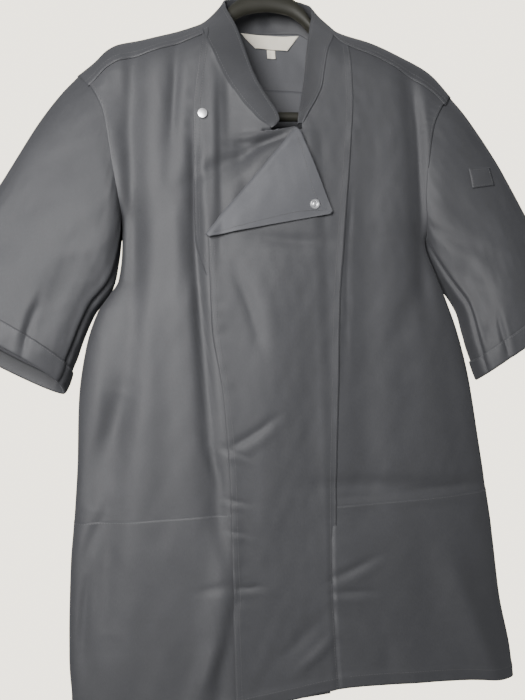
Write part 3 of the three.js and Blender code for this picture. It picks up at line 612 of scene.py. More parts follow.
def cloth(name, blocks, nodes, looks, wall=CLOTH, merge=False):
    """A shell of cloth from grid blocks: its outer face, then a wall added inwards by Solidify."""
    mesh = bpy.data.meshes.new(name)
    vertices, faces, flats, near, start = [], [], [], [], 0
    for points, quads, flat, seam in blocks:
        vertices.append(points)
        faces.append(quads + start)
        flats.append(flat)
        near.append(seam)
        start += len(points)
    vertices, faces = np.concatenate(vertices) * MM, np.concatenate(faces)
    mesh.from_pydata(vertices.tolist(), [], faces.tolist())
    layer = mesh.uv_layers.new(name="cloth")
    layer.data.foreach_set("uv", np.concatenate(flats).reshape(-1))
    edge = mesh.attributes.new("near_seam", "FLOAT", "POINT")
    edge.data.foreach_set("value", np.concatenate(near))
    mesh.polygons.foreach_set("use_smooth", np.ones(len(faces), bool))
    thing = new_object(name, mesh)
    if merge:
        work = bmesh.new()
        work.from_mesh(mesh)
        bmesh.ops.remove_doubles(work, verts=work.verts, dist=1e-6)
        work.to_mesh(mesh)
        work.free()
    for look in looks:
        mesh.materials.append(look)
    thickness = thing.modifiers.new("wall", "SOLIDIFY")
    thickness.thickness = wall * MM
    thickness.offset = -1
    thickness.use_even_offset = False
    thickness.material_offset = len(looks) - 1
    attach(thing, "root")
    if nodes:
        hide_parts(*nodes)


def block(face, edges=("left", "right", "top", "bottom")):
    return grid_block(face.points, face.ring, edges)


def twill_panel(node, face):
    cloth(f"{node}_cloth", [block(face)], [node], CLOTH_LOOKS)


# Materials


class Wire:
    """A socket on which Python's operators work: each adds its Math node."""

    def __init__(self, look, socket):
        self.look, self.socket = look, socket

    def maths(self, operation, *values):
        return self.look.add("ShaderNodeMath", {"operation": operation}, dict(enumerate(values)))

    def __add__(self, other):
        return self.maths("ADD", self, other)

    __radd__ = __add__

    def __sub__(self, other):
        return self.maths("SUBTRACT", self, other)

    def __mul__(self, other):
        return self.maths("MULTIPLY", self, other)

    __rmul__ = __mul__

    def sine(self):
        return self.maths("SINE", self)


class Look:
    """A material that is being made, on one Principled shader."""

    def __init__(self, name):
        self.material = bpy.data.materials.new(name)
        self.material.use_nodes = True
        self.tree = self.material.node_tree
        self.tree.nodes.clear()

    def add(self, kind, settings=None, inputs=None, output=0):
        node = self.tree.nodes.new(kind)
        for key, value in (settings or {}).items():
            setattr(node, key, value)
        for key, value in (inputs or {}).items():
            if isinstance(value, Wire):
                self.tree.links.new(value.socket, node.inputs[key])
            else:
                node.inputs[key].default_value = value
        return Wire(self, node.outputs[output])

    def place(self):
        """The piece's own coordinates, in metres."""
        return self.add("ShaderNodeTexCoord", output=3)

    def weave(self):
        """The flat cloth's coordinates: both in one, then across it and along it."""
        flat = self.add("ShaderNodeUVMap", {"uv_map": "cloth"})
        parts = self.tree.nodes.new("ShaderNodeSeparateXYZ")
        self.tree.links.new(flat.socket, parts.inputs[0])
        return flat, Wire(self, parts.outputs[0]), Wire(self, parts.outputs[1])

    def stretched(self, where, scale):
        return self.add("ShaderNodeMapping", None, {"Vector": where, "Scale": scale})

    def mix(self, share, first, second):
        settings = {"data_type": "RGBA"}
        return self.add("ShaderNodeMix", settings, {0: share, 6: first, 7: second}, output=2)

    def noise(self, where, scale, detail=2.0, roughness=0.5):
        inputs = {"Vector": where, "Scale": scale, "Detail": detail, "Roughness": roughness}
        return self.add("ShaderNodeTexNoise", None, inputs)

    def bump(self, height, strength, distance):
        inputs = {"Height": height, "Strength": strength, "Distance": distance}
        return self.add("ShaderNodeBump", None, inputs)

    def finish(self, **inputs):
        named = {key.replace("_", " "): value for key, value in inputs.items()}
        shader = self.add("ShaderNodeBsdfPrincipled", None, named)
        end = self.tree.nodes.new("ShaderNodeOutputMaterial")
        self.tree.links.new(shader.socket, end.inputs["Surface"])
        return self.material


def grey(value, blue=0.0):
    return (value, value * (1 + 0.2 * blue), value * (1 + blue), 1)


def twill(name, dark, light, roughness, blue):
    """Poly-cotton twill: diagonal wales on the cloth's own coordinates, uneven dye, and seams lightened
    partly as rubbing and partly as a painted highlight of their lit edges.
    """
    look = Look(name)
    place = look.place()
    flat, along, down = look.weave()
    wale = (along * (TURN / 0.0011) + down * (TURN / 0.0007)).sine()
    weft = (along * (TURN / 0.0009) - down * (TURN / 0.0022)).sine()
    fibre = look.noise(look.stretched(flat, (900, 260, 1)), 1.0, 3.0, 0.6)
    cloudy = look.noise(place, 16.0, 4.0, 0.55)
    patchy = look.noise(place, 55.0, 3.0, 0.6)
    # near_seam lightens the colour along every seam: partly rubbing, partly a painted highlight where the
    # seams' raised edges catch the light
    seam = look.add("ShaderNodeAttribute", {"attribute_name": "near_seam"}, output=2)
    shade = cloudy * 0.26 + patchy * 0.18 + fibre * 0.5 + wale * 0.09 + seam * 0.07
    colour = look.mix(shade, grey(dark, blue), grey(light, blue))
    rough = roughness + patchy * 0.1 - seam * 0.06
    height = wale * 0.5 + weft * 0.2 + fibre * 0.9
    return look.finish(
        Base_Color=colour,
        Roughness=rough,
        Normal=look.bump(height, 0.35, 0.0002),
        Sheen_Weight=0.09,
        Sheen_Roughness=0.45,
        Sheen_Tint=(0.8, 0.82, 0.88, 1),
        Specular_IOR_Level=0.5,
    )


def thread(name, dark, light):
    """Polyester sewing thread with its twist."""
    look = Look(name)
    place = look.place()
    shade = look.noise(place, 420.0, 2.0)
    twist = look.noise(place, 2600.0, 1.0)
    return look.finish(
        Base_Color=look.mix(shade, grey(dark, 0.03), grey(light, 0.03)),
        Roughness=0.45 + shade * 0.15,
        Normal=look.bump(twist, 0.4, 0.0002),
    )


def moulded(name):
    """Dark olive moulded plastic with a soft gloss, flow marks and a few rubbed streaks."""
    look = Look(name)
    place = look.place()
    cloudy = look.noise(place, 18.0, 4.0)
    streak = look.noise(look.stretched(place, (30, 400, 400)), 1.0, 3.0, 0.6)
    grain = look.noise(place, 900.0, 2.0)
    return look.finish(
        Base_Color=look.mix(
            cloudy * 0.6 + streak * 0.4, (0.016, 0.016, 0.012, 1), (0.034, 0.033, 0.025, 1)
        ),
        Roughness=0.46 + streak * 0.2,
        Specular_IOR_Level=0.35,
        Normal=look.bump(grain + cloudy * 2.0, 0.18, 0.0002),
    )


def metal(name, dark, light, rough):
    """Plated steel, with hairline rubbing and dull spots."""
    look = Look(name)
    place = look.place()
    hairs = look.noise(look.stretched(place, (1200, 300, 300)), 1.0, 2.0)
    spots = look.noise(place, 260.0, 3.0)
    return look.finish(
        Base_Color=look.mix(spots, grey(dark, 0.02), grey(light, 0.02)),
        Metallic=1.0,
        Roughness=rough + hairs * 0.12 + spots * 0.08,
        Normal=look.bump(hairs, 0.12, 0.0001),
    )


def woven_label(name):
    """Cream satin-woven tape with a faint weft rib and a little soiling."""
    look = Look(name)
    _, _, down = look.weave()
    rib = (down * (TURN / 0.0005)).sine()
    soil = look.noise(look.place(), 60.0, 4.0)
    return look.finish(
        Base_Color=look.mix(soil, (0.72, 0.66, 0.53, 1), (0.90, 0.86, 0.76, 1)),
        Roughness=0.62 + soil * 0.15,
        Normal=look.bump(rib + soil, 0.3, 0.0002),
        Sheen_Weight=0.15,
    )


TWILL = twill("charcoal_twill", 0.030, 0.071, 0.53, 0.11)
TWILL_INSIDE = twill("twill_reverse", 0.056, 0.104, 0.62, 0.12)
THREAD = thread("seam_thread", 0.060, 0.13)
PALE_THREAD = thread("pale_thread", 0.45, 0.7)
PLASTIC = moulded("olive_plastic")
NICKEL = metal("snap_nickel", 0.74, 0.95, 0.30)
WIRE_STEEL = metal("hook_wire", 0.42, 0.66, 0.22)
LABEL = woven_label("cream_label")
CLOTH_LOOKS = (TWILL, TWILL_INSIDE)


# Stitching


def seam_points(face, edge, distance, start=0.0, end=1.0, count=260):
    """Points and normals of a line that runs beside an edge of a surface at a distance from it."""
    s = np.linspace(start, end, count)
    away = face.distance(edge)
    order = slice(None) if edge in ("left", "top") else slice(None, None, -1)
    if edge in ("left", "right"):
        shares = [np.interp(distance, row[order], face.u[order]) for row in away]
        u, v = np.interp(s, face.v, shares), s
    else:
        shares = [np.interp(distance, column[order], face.v[order]) for column in away.T]
        u, v = s, np.interp(s, face.u, shares)
    return face.at(u, v), face.facing(u, v)


def sewn(name, lines, look, pitch=3.1, length=2.2, half=0.3, height=0.28):
    """Rows of stitches: small beads of thread laid end to end along lines on the cloth."""
    centres, ways, normals = [], [], []

    def along(stops, travelled, values):
        return np.stack([np.interp(stops, travelled, values[:, k]) for k in range(3)], 1)

    for points, outward in lines:
        travelled = np.concatenate([[0], np.cumsum(np.linalg.norm(np.diff(points, axis=0), axis=1))])
        if travelled[-1] < 2 * pitch:
            continue
        stops = np.arange(pitch / 2, travelled[-1] - pitch / 2, pitch)
        way = along(stops + 1, travelled, points) - along(stops - 1, travelled, points)
        out = along(stops, travelled, outward)
        centres.append(along(stops, travelled, points))
        ways.append(way / np.linalg.norm(way, axis=1, keepdims=True))
        normals.append(out / np.linalg.norm(out, axis=1, keepdims=True))
    centre, way, out = np.concatenate(centres), np.concatenate(ways), np.concatenate(normals)
    across = np.cross(way, out)
    profile = [(0.5, 0, -0.1)]
    for place in (0.28, -0.28):
        profile += [(place, 1, 0), (place, 0, 1), (place, -1, 0), (place, 0, -1)]
    profile.append((-0.5, 0, -0.1))
    vertices = [
        centre + way * (a * length) + across * (b * half) + out * (c * height) for a, b, c in profile
    ]
    vertices = np.stack(vertices, 1).reshape(-1, 3) * MM
    faces = []
    for k in range(4):
        m = (k + 1) % 4
        faces += [(0, 1 + m, 1 + k, 1 + k), (1 + k, 1 + m, 5 + m, 5 + k), (9, 5 + k, 5 + m, 5 + m)]
    starts = np.arange(len(centre)) * len(profile)
    every = [
        [start + corner for corner in dict.fromkeys(face)]
        for start in starts.tolist()
        for face in faces
    ]
    mesh = bpy.data.meshes.new(name)
    mesh.from_pydata(vertices.tolist(), [], every)
    mesh.polygons.foreach_set("use_smooth", np.ones(len(every), bool))
    mesh.materials.append(look)
    thing = new_object(name, mesh)
    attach(thing, "root")


# Panels


def front_top(x):
    return front_yoke_height(x) + LAP


def left_hidden(z):
    return PRINCESS_LEFT(z) + LAP


def right_hidden(z):
    return PRINCESS_RIGHT(z) - LAP


def armhole_ridge(face, armhole):
    """The raised, faintly gathered edge along an armhole seam."""
    u, v = face.grid()
    away = face.distance(armhole)
    above_underarm = 1 - smoothstep(v, 0.24, 0.27)
    return above_underarm * (0.8 * hill(away, 6) + 0.1 * hill(away - 10, 7) * np.sin(v * 190))


def seam_puckers(face, edge, amount):
    """Cloth drawn up a little along a seam: short uneven ripples that die away from it."""
    z = face.points[..., 2]
    away = face.distance(edge)
    ripple = np.sin(z / 3.1 + np.sin(z / 17)) + 0.6 * np.sin(z / 5.3 + away / 6)
    return amount * hill(away - 8, 7) * ripple * (0.5 + 0.5 * np.sin(z / 41))


def side_front(hand, patch, seam, puckers):
    face = surface(patch, 64, 290)
    if hand == "left":
        face = Surface(sunk(face.points))
    return face.moved(hem_band(face) + armhole_ridge(face, hand) + seam_puckers(face, seam, puckers))


left_side = side_line("left", FRONT_VENT_TURN["left"])
right_side = side_line("right", FRONT_VENT_TURN["right"])
side_left = side_front("left", panel(left_side, left_hidden, front_top, HEM), "right", 0.32)
side_right = side_front("right", panel(right_hidden, right_side, front_top, HEM), "left", 0.2)
twill_panel("side_front_left", side_left)
twill_panel("side_front_right", side_right)

back_patch = panel(
    side_line("left", BACK_VENT_TURN),
    side_line("right", BACK_VENT_TURN),
    lambda x: BACK_YOKE(x) - 2,
    lambda x: HEM(x) - 4,
    side=1,
    height=lambda v, top, bottom: lerp(top, bottom, v),
)
back = surface(lambda u, v: back_patch(1 - u, v), 120, 170)
back = back.moved(hem_band(back))
twill_panel("back", back)

# Collar


def collar_seam(t):
    return shoulder_point(COLLAR["x"](t), COLLAR["bend"](t))


def collar_patch(u, v):
    """The stand: a band from its top edge down to its seam, and a little under the neck's edge."""
    t = 1 - u
    seam = collar_seam(t)
    top = np.stack([COLLAR["top_x"](t), COLLAR["top_y"](t), COLLAR["top_z"](t)], -1)
    rise = top - seam
    share = lerp(1, -1.5 / np.linalg.norm(rise, axis=-1), v)
    return seam + rise * share[..., None]


collar = surface(collar_patch, 260, 22)
collar_u, collar_v = collar.grid()
across_band = np.sin(math.pi * collar_v)
neck_puckers = 0.9 * hill(collar_u - 0.49, 0.07) * np.sin(collar_u * 160)
collar = collar.moved(
    across_band * (0.9 + 0.5 * np.sin(collar_u * 37 + 1) + 0.35 * np.sin(collar_u * 83) + neck_puckers)
)
cloth("collar_cloth", [block(collar)], ["collar"], (TWILL, TWILL), wall=COLLAR_WALL)
collar_right_points = collar_seam(np.linspace(NECK_TO, 1, 25))
COLLAR_SEAM_RIGHT = table(("z", "x"), [(p[2], p[0]) for p in collar_right_points])["x"]

# Yoke

YOKE_CORNER_LEFT, YOKE_CORNER_RIGHT = -196, 190
ARMHOLE_SHARE = 0.3
YOKE_REACH = 3.8       # degrees over the shoulder by which the yoke laps over the fronts
YOKE_END = 0.04        # share of the yoke over which it reaches out to that


def armhole_by_bend(hand, bend):
    z = np.full(np.shape(bend), float(SHOULDER_POINT[hand]))
    for _ in range(40):
        x = ARMHOLE[hand](z)
        z = lerp(z, RIDGE(x) - SHOULDER_ROLL * drop_of(np.abs(bend)), 0.6)
    return x


def yoke_edge(t):
    """The yoke's outer edge: up the left armhole, along the back seam, down the right armhole."""
    back_x = lerp(
        YOKE_CORNER_LEFT, YOKE_CORNER_RIGHT, np.clip((t - ARMHOLE_SHARE) / (1 - 2 * ARMHOLE_SHARE), 0, 1)
    )
    back_bend = bend_at(back_x, BACK_YOKE(back_x))
    edge = {}
    for hand, share, corner in (
        ("left", t / ARMHOLE_SHARE, YOKE_CORNER_LEFT),
        ("right", (1 - t) / ARMHOLE_SHARE, YOKE_CORNER_RIGHT),
    ):
        bend = lerp(-FRONT_YOKE[hand][1][1], bend_at(corner, BACK_YOKE(corner)), np.clip(share, 0, 1))
        edge[hand] = (armhole_by_bend(hand, bend), bend)
    on_left, on_right = t <= ARMHOLE_SHARE, t >= 1 - ARMHOLE_SHARE
    x = np.select([on_left, on_right], [edge["left"][0], edge["right"][0]], back_x)
    bend = np.select([on_left, on_right], [edge["left"][1], edge["right"][1]], back_bend)
    return x, bend


def yoke(u, v):
    t = 1 - u
    neck = lerp(NECK_FROM, NECK_TO, t)
    x, bend = yoke_edge(t)
    reach = np.maximum(np.maximum(1 - t / YOKE_END, 1 - (1 - t) / YOKE_END), 0)
    back_reach = smoothstep(t, 0.3, 0.33) * smoothstep(1 - t, 0.3, 0.33) * smoothstep(v, 0.93, 1)
    turn = lerp(COLLAR["bend"](neck), bend, v) - YOKE_REACH * reach + YOKE_REACH * back_reach
    return shoulder_point(lerp(COLLAR["x"](neck), x, v), turn)


yoke_face = surface(yoke, 240, 56)
yoke_u, yoke_v = yoke_face.grid()
along_back = smoothstep(1 - yoke_u, 0.28, 0.33) * smoothstep(yoke_u, 0.28, 0.33)
front_seams = np.maximum(hill(1 - yoke_u, 0.025), hill(yoke_u, 0.025))
yoke_face = yoke_face.moved(
    0.1 + (LAP_LIFT + 0.2) * np.maximum(front_seams, hill(1 - yoke_v, 0.06) * along_back)
)
twill_panel("yoke", yoke_face)

# Under front

UNDER_TOP_Z = float(front_yoke_height(-80)) + 2


def under_right(v):
    on_collar = v <= COLLAR_END_V - 1e-3
    t = lerp(NECK_FROM - 0.005, 0, np.clip(v / COLLAR_END_V, 0, 1))
    seam = collar_seam(t)
    beside_collar = np.maximum(seam[..., 0] - 0.5, PRINCESS_LEFT(seam[..., 2]) + SEAM)
    x = np.where(on_collar, beside_collar, UNDER_EDGE["x"](v))
    z = np.where(on_collar, seam[..., 2], UNDER_EDGE["z"](v))
    return x, z


def under_flat(u, v):
    left_z = row_height(v, UNDER_TOP_Z, float(HEM(-47)))
    right_x, right_z = under_right(v)
    start = turn_of(PRINCESS_LEFT(left_z) - 1, left_z)
    return body_point(lerp(start, turn_of(right_x, right_z), u), lerp(left_z, right_z, u), -1)


under = surface(under_flat, 48, 220)
under = Surface(sunk(under.points))
under_v = under.grid()[1]
shown = 1 - smoothstep(under_v, FOLD_CORNER_V, FOLD_CORNER_V + 0.06)
under_lift = LAP_LIFT * hill(under.distance("left"), 7) + 0.5 * hill(under.distance("right"), 6)
under = under.moved(under_lift * shown)
twill_panel("under_front", under)

# Overlap with its folded corner, one sheet


COLLAR_ROWS = 49
FLAP_ROWS = 80
FLAP_COLUMNS = 52
ROLL_COLUMNS = 8


def overlap_left(z):
    return np.where(z > -226, COLLAR_SEAM_RIGHT(z) + 0.3, OVERLAP_EDGE(z))


rows_v = np.concatenate([
    np.linspace(0, COLLAR_END_V, COLLAR_ROWS + 1),
    np.linspace(COLLAR_END_V, FOLD_CORNER_V, FLAP_ROWS + 1)[1:],
    np.linspace(FOLD_CORNER_V, 1, 190)[1:],
])
overlap = surface(panel(overlap_left, lambda z: PRINCESS_RIGHT(z) + 1, front_top, HEM), 56, 0, v=rows_v)
overlap_x, overlap_z = overlap.points[..., 0], overlap.points[..., 2]
princess = PRINCESS_RIGHT(overlap_z)
level = 1 - smoothstep(overlap_x, np.minimum(30, princess - 12), np.minimum(46, princess - 1))
overlap = overlap.moved(
    OVERLAP_LAYER * smoothstep(-overlap_z, 205, 235) * level
    + LAP_LIFT * hill(princess + 1 - overlap_x, 7)
    + hem_band(overlap)
    + 0.5 * hill(overlap_x - OVERLAP_EDGE(overlap_z) - 4, 7) * (overlap_z < -350)
    + seam_puckers(overlap, "left", 0.24) * smoothstep(-overlap_z, 350, 372)
)
FOLD_TOP = np.array([19.0, -229.0])
FOLD_CORNER = np.array([-87.0, -344.0])
FLAP_TIP = np.array([52.0, -320.0])
FOLD_ROLL = 2.6        # radius of the rolled fold
FLAP_TIP_WIDTH = 3
FOLD_LENGTH = 150      # of the fold, in round figures
fold_way = (FOLD_CORNER - FOLD_TOP) / np.linalg.norm(FOLD_CORNER - FOLD_TOP)
fold_out = np.array([fold_way[1], -fold_way[0]])    # from the fold, away from the flap


def flap_flat(s, w):
    """The body's surface below the flap: s runs down the fold, w from the fold to the tip."""
    shrink = 1 - w * (1 - FLAP_TIP_WIDTH / FOLD_LENGTH)
    middle = (FOLD_TOP + FOLD_CORNER) / 2
    x = lerp(middle[0], FLAP_TIP[0], w) + (FOLD_CORNER[0] - FOLD_TOP[0]) * (s - 0.5) * shrink
    z = lerp(middle[1], FLAP_TIP[1], w) + (FOLD_CORNER[1] - FOLD_TOP[1]) * (s - 0.5) * shrink
    return body_point(turn_of(x, z), z, -1)


def flap_height(s, w):
    """Height of the flap's under face above the body."""
    fall = (1 - w) ** 1.6
    high, low = OVERLAP_LAYER + 2 * FOLD_ROLL, OVERLAP_LAYER + 1.5
    ripple = 1.6 * np.sin(math.pi * w) ** 2 * np.sin(3.4 * s + 0.4) + 0.9 * hill(w - 0.9, 0.12) * (1 - s)
    loft = 2.4 * np.sin(math.pi * np.clip(w * 1.15, 0, 1)) * (0.4 + 0.6 * (1 - s))
    return low + (high - low) * fall + loft + ripple


def flap_under(s, w):
    base = flap_flat(s, w)
    return base + np.array([0, -1.0, 0]) * flap_height(s, w)[..., None]


def flap_face(s, w):
    """The flap's shown face, seen with s to the left and w downwards."""
    return flap_under(s, w) + np.array([0, -CLOTH, 0])


front_points = overlap.points
fold_edge = front_points[COLLAR_ROWS:COLLAR_ROWS + FLAP_ROWS + 1, 0]
s_rows = np.linspace(0, 1, FLAP_ROWS + 1)[:, None]
w_columns = np.linspace(0, 1, FLAP_COLUMNS + 1)[None, :]
flap_s, flap_w = np.broadcast_arrays(s_rows, w_columns)
flap_points = flap_under(flap_s, flap_w)
# the roll leaves the front's edge, turns half round and meets the flap's first column
phase = np.linspace(0, math.pi, ROLL_COLUMNS + 1)[1:-1]
outwards = np.array([fold_out[0], 0, fold_out[1]])
roll = []
for angle in phase:
    blend = (1 - math.cos(angle)) / 2
    middle = lerp(fold_edge, flap_points[:, 0], blend)
    roll.append(middle + outwards * FOLD_ROLL * 1.25 * math.sin(angle))
turned = np.concatenate([fold_edge[:, None], np.stack(roll, 1), flap_points], 1)
cloth(
    "overlap_front_cloth",
    [grid_block(front_points), grid_block(turned[:, ::-1], edges=("left", "top", "bottom"))],
    ["overlap_front", "flap"],
    CLOTH_LOOKS,
    merge=True,
)

# Pockets


def pocket(side):
    """A patch pocket over the lower part of a side front, its top edge lying flat."""
    patch = side.part(60, 84, POCKET_V, 1)
    down = patch.distance("top")
    return patch.moved(lerp(0.35, LAYER, smoothstep(down, 0, 45)))


pocket_left, pocket_right = pocket(side_left), pocket(side_right)
twill_panel("pocket_left", pocket_left)
twill_panel("pocket_right", pocket_right)

# Sleeves

SLEEVE_COLUMNS = ("t", "out_x", "out_z", "in_x", "in_z", "in_y", "front", "back", "drop")
SLEEVES = {
    "left": table(SLEEVE_COLUMNS, [
        (0.00, -222, -153, -180, -320, 0, 36, 32, 0),
        (0.10, -240, -173, -183, -350, 0, 40, 33, 0.03),
        (0.25, -262, -203, -191.5, -390, -2, 42, 34, 0.08),
        (0.50, -309, -278, -216, -424, -4, 43, 33, 0.2),
        (0.75, -352, -346, -234, -466, -6, 43, 32, 0.33),
        (1.00, -394, -421, -251, -507, -8, 42, 31, 0.43),
    ]),
    "right": table(SLEEVE_COLUMNS, [
        (0.00, 222, -172, 178, -352, 0, 36, 32, 0),
        (0.10, 240, -196, 186, -374, -2, 40, 33, 0.03),
        (0.25, 264, -238, 200, -404, -6, 42, 34, 0.08),
        (0.50, 302, -310, 217, -440, -14, 43, 33, 0.15),
        (0.75, 337, -374, 223, -478, -21, 43, 32, 0.22),
        (1.00, 372, -441, 234, -521, -24, 42, 31, 0.3),
    ]),
}
SLEEVE_SET = 0.35      # share of the sleeve over which it leaves the armhole's shape
SLEEVE_SQUARE = 0.7    # how squarely its section turns at the folds
AROUND = 89            # mm of sleeve to a radian round it
ALONG = 260            # mm of sleeve from the armhole to the cuff, for placing its folds
OVER_ARM, UNDER_ARM = 320, 195      # mm of sleeve from the armhole to its end
# broad creases by angle: 0 over the arm, a quarter turn at the front, a half under the arm
SLEEVE_CREASES = {
    "left": [(1.2, 0.1, 0.75, 0.24, 2.4), (2.1, 0.35, 0.95, 0.2, 3), (4.4, 0.2, 0.8, 0.25, 4)],
    "right": [(1.7, 0.05, 0.6, 0.24, 2), (2.4, 0.2, 0.9, 0.2, 3), (4.6, 0.2, 0.8, 0.25, 4)],
}
# finer folds: angle and t at each end, then bow, half width, depth and bank
SLEEVE_FOLDS = {
    "left": [
        (2.78, 0.03, 2.85, 0.92, 0, 6, 4.2, 1.6),
        (2.3, 0.04, 1.85, 0.42, 4, 11, 1.3, 0.5),
        (1.95, 0.74, 2.05, 0.98, 2, 5, 3.2, 1.4),
        (0.9, 0.3, 1.0, 0.8, -3, 20, 1.4, 0),
        (3.9, 0.05, 4.6, 0.5, 5, 9, 2.6, 1.2),
        (4.4, 0.3, 4.5, 0.9, -3, 10, 2.4, 1.0),
        (5.2, 0.3, 5.3, 0.9, 3, 14, 1.8, 0),
    ],
    "right": [
        (2.78, 0.03, 2.85, 0.92, 0, 6, 4.2, 1.6),
        (2.4, 0.03, 1.85, 0.45, 4, 10, 1.8, 0.8),
        (2.2, 0.76, 2.3, 0.98, 0, 5, 2.8, 1.2),
        (1.2, 0.3, 1.1, 0.8, 3, 20, 1.2, 0),
        (3.9, 0.05, 4.7, 0.5, 5, 9, 2.6, 1.2),
        (4.5, 0.3, 4.6, 0.9, -3, 10, 2.4, 1.0),
        (5.3, 0.3, 5.2, 0.9, 3, 14, 1.8, 0),
    ],
}


def armhole_point(hand, angle):
    down = (1 - np.cos(angle)) / 2
    z = lerp(SHOULDER_POINT[hand], UNDERARM[hand], down)
    x = ARMHOLE[hand](z)
    return body_point(turn_of(x, z), z, np.where(np.sin(angle) >= 0, -1, 1))


def body_normal(hand, angle):
    """The body's outward normal along the armhole, softened where it turns over the shoulder."""
    down = (1 - np.cos(angle)) / 2
    facing = np.sin(angle)
    sign = -1 if hand == "left" else 1
    plain = np.stack([sign * 0.45 * down, -facing, (1 - down) * (1 - np.abs(facing)) + 0.1], -1)
    return plain / np.linalg.norm(plain, axis=-1, keepdims=True)


def sleeve_of(hand, columns=190, rows=100):
    """A sleeve's surface, and the length of cloth from armhole to hem at each of its columns."""
    shape = SLEEVES[hand]
    sign = 1 if hand == "left" else -1
    u = np.linspace(0, 1, columns + 1)[:-1]
    angle = (u if hand == "left" else 1 - u) * TURN
    inward = (1 - np.cos(angle)) / 2

    tangent = armhole_point(hand, angle + 0.01) - armhole_point(hand, angle - 0.01)
    out = body_normal(hand, angle)
    away = np.cross(tangent, out)
    away = away / np.maximum(np.linalg.norm(away, axis=-1, keepdims=True), 1e-9)
    tuck = np.where(np.cos(angle) > 0.9, 0.6, 1.2)[:, None]
    start = armhole_point(hand, angle) - away * sign * tuck - out * 0.5

    def oval(t):
        t = t[:, None]
        depth = np.where(np.sin(angle) >= 0, -shape["front"](t), shape["back"](t))
        y = shape["in_y"](t) * inward + depth * np.abs(np.sin(angle)) ** SLEEVE_SQUARE
        x = lerp(shape["out_x"](t), shape["in_x"](t), inward)
        z = lerp(shape["out_z"](t), shape["in_z"](t), inward) - shape["drop"](t) * y
        return np.stack([x, y, z], -1)

    t = np.linspace(0, 1, rows + 1)
    shift = oval(t) - oval(np.zeros(1)) + start
    plain = Surface(lerp(shift, oval(t), smoothstep(t, 0, SLEEVE_SET)[:, None, None]), ring=True)

    turn, t = np.meshgrid(np.mod(angle, TURN), t)
    depth = np.zeros(turn.shape)
    for place, first, last, width, deep in SLEEVE_CREASES[hand]:
        along = smoothstep(t, first, first + 0.15) * (1 - smoothstep(t, last - 0.15, last))
        depth += deep * along * hill(turn - place, width)
    folds = [
        (a0 * AROUND, -t0 * ALONG, a1 * AROUND, -t1 * ALONG, bow, width, deep, bank)
        for a0, t0, a1, t1, bow, width, deep, bank in SLEEVE_FOLDS[hand]
    ]
    wrap = smoothstep(turn, 0, 0.5) * smoothstep(TURN - turn, 0, 0.5)
    fine = folded(folds, turn * AROUND, -t * ALONG) * wrap
    rough = uneven(turn * AROUND + 600 * sign, -t * ALONG) * wrap
    puffs = 0.15 * hill(t - 0.045, 0.035) * np.sin(turn * 26) * wrap
    face = plain.moved(puffs - (depth + fine - rough) * smoothstep(t, 0.0, 0.06))
    return face, lerp(OVER_ARM, UNDER_ARM, inward)


CUFF_HEIGHT = 25
CUFF_INSIDE = 16
CUFF_WALL = 0.8
CUFF_OUTER, CUFF_ROLL = 0.55, 0.10      # shares of the cuff's rows


def cuff_of(sleeve, length):
    """The turned-up cuff: down its outer face, round the bottom fold and up inside."""
    u, v = np.meshgrid(sleeve.u, np.linspace(0, 1, 25))
    outer = np.clip(v / CUFF_OUTER, 0, 1)
    roll = np.clip((v - CUFF_OUTER) / CUFF_ROLL, 0, 1) * math.pi
    inner = np.clip((v - CUFF_OUTER - CUFF_ROLL) / (1 - CUFF_OUTER - CUFF_ROLL), 0, 1)
    t = 1 - CUFF_HEIGHT / length * (1 - outer) - CUFF_INSIDE / length * inner
    ends = sleeve.points[-1] - sleeve.points[-3]
    ends = ends / np.linalg.norm(ends, axis=-1, keepdims=True)
    swell = LAYER + 0.6 + np.sin(math.pi * outer) * (0.5 + 0.35 * np.sin(u * 75))
    stand = lerp(swell, -CLOTH - 1.0, (1 - np.cos(roll)) / 2)
    points = sleeve.at(u, t) + sleeve.facing(u, t) * stand[..., None]
    return Surface(points + ends * (1.6 * np.sin(roll) + 0.6)[..., None], ring=True)


sleeves = {hand: sleeve_of(hand) for hand in ("left", "right")}
cuffs = {hand: cuff_of(*sleeves[hand]) for hand in sleeves}
for hand in sleeves:
    sleeve, cuff = block(sleeves[hand][0], ("top",)), block(cuffs[hand], ("top",))
    cloth(f"sleeve_{hand}_cloth", [sleeve], [f"sleeve_{hand}"], CLOTH_LOOKS)
    cloth(f"cuff_{hand}_cloth", [cuff], [f"cuff_{hand}"], (TWILL, TWILL), wall=CUFF_WALL)


def locate(face, x, z):
    """The (u, v) of a surface's front where it passes each given x and z."""
    x, z = np.asarray(x, float), np.asarray(z, float)
    spots = face.points.reshape(-1, 3)
    grid_u, grid_v = (values.ravel() for values in face.grid())
    front = face.normals.reshape(-1, 3)[:, 1] < 0
    gap = np.hypot(spots[:, 0] - x[..., None], spots[:, 2] - z[..., None]) + np.where(front, 0, 1e6)
    nearest = gap.argmin(-1)
    u, v = grid_u[nearest], grid_v[nearest]
    for _ in range(4):
        here = face.at(u, v)
        across = (face.at(u + STEP, v) - here) / STEP
        down = (face.at(u, v + STEP) - here) / STEP
        size = across[..., 0] * down[..., 2] - across[..., 2] * down[..., 0]
        dx, dz = x - here[..., 0], z - here[..., 2]
        u = u + np.clip((dx * down[..., 2] - dz * down[..., 0]) / size, -0.02, 0.02)
        v = v + np.clip((dz * across[..., 0] - dx * across[..., 2]) / size, -0.02, 0.02)
    return u, v


PATCH_CORNERS = {"top": ((223, -268), (251, -266)), "low": ((226, -292), (255, -288))}


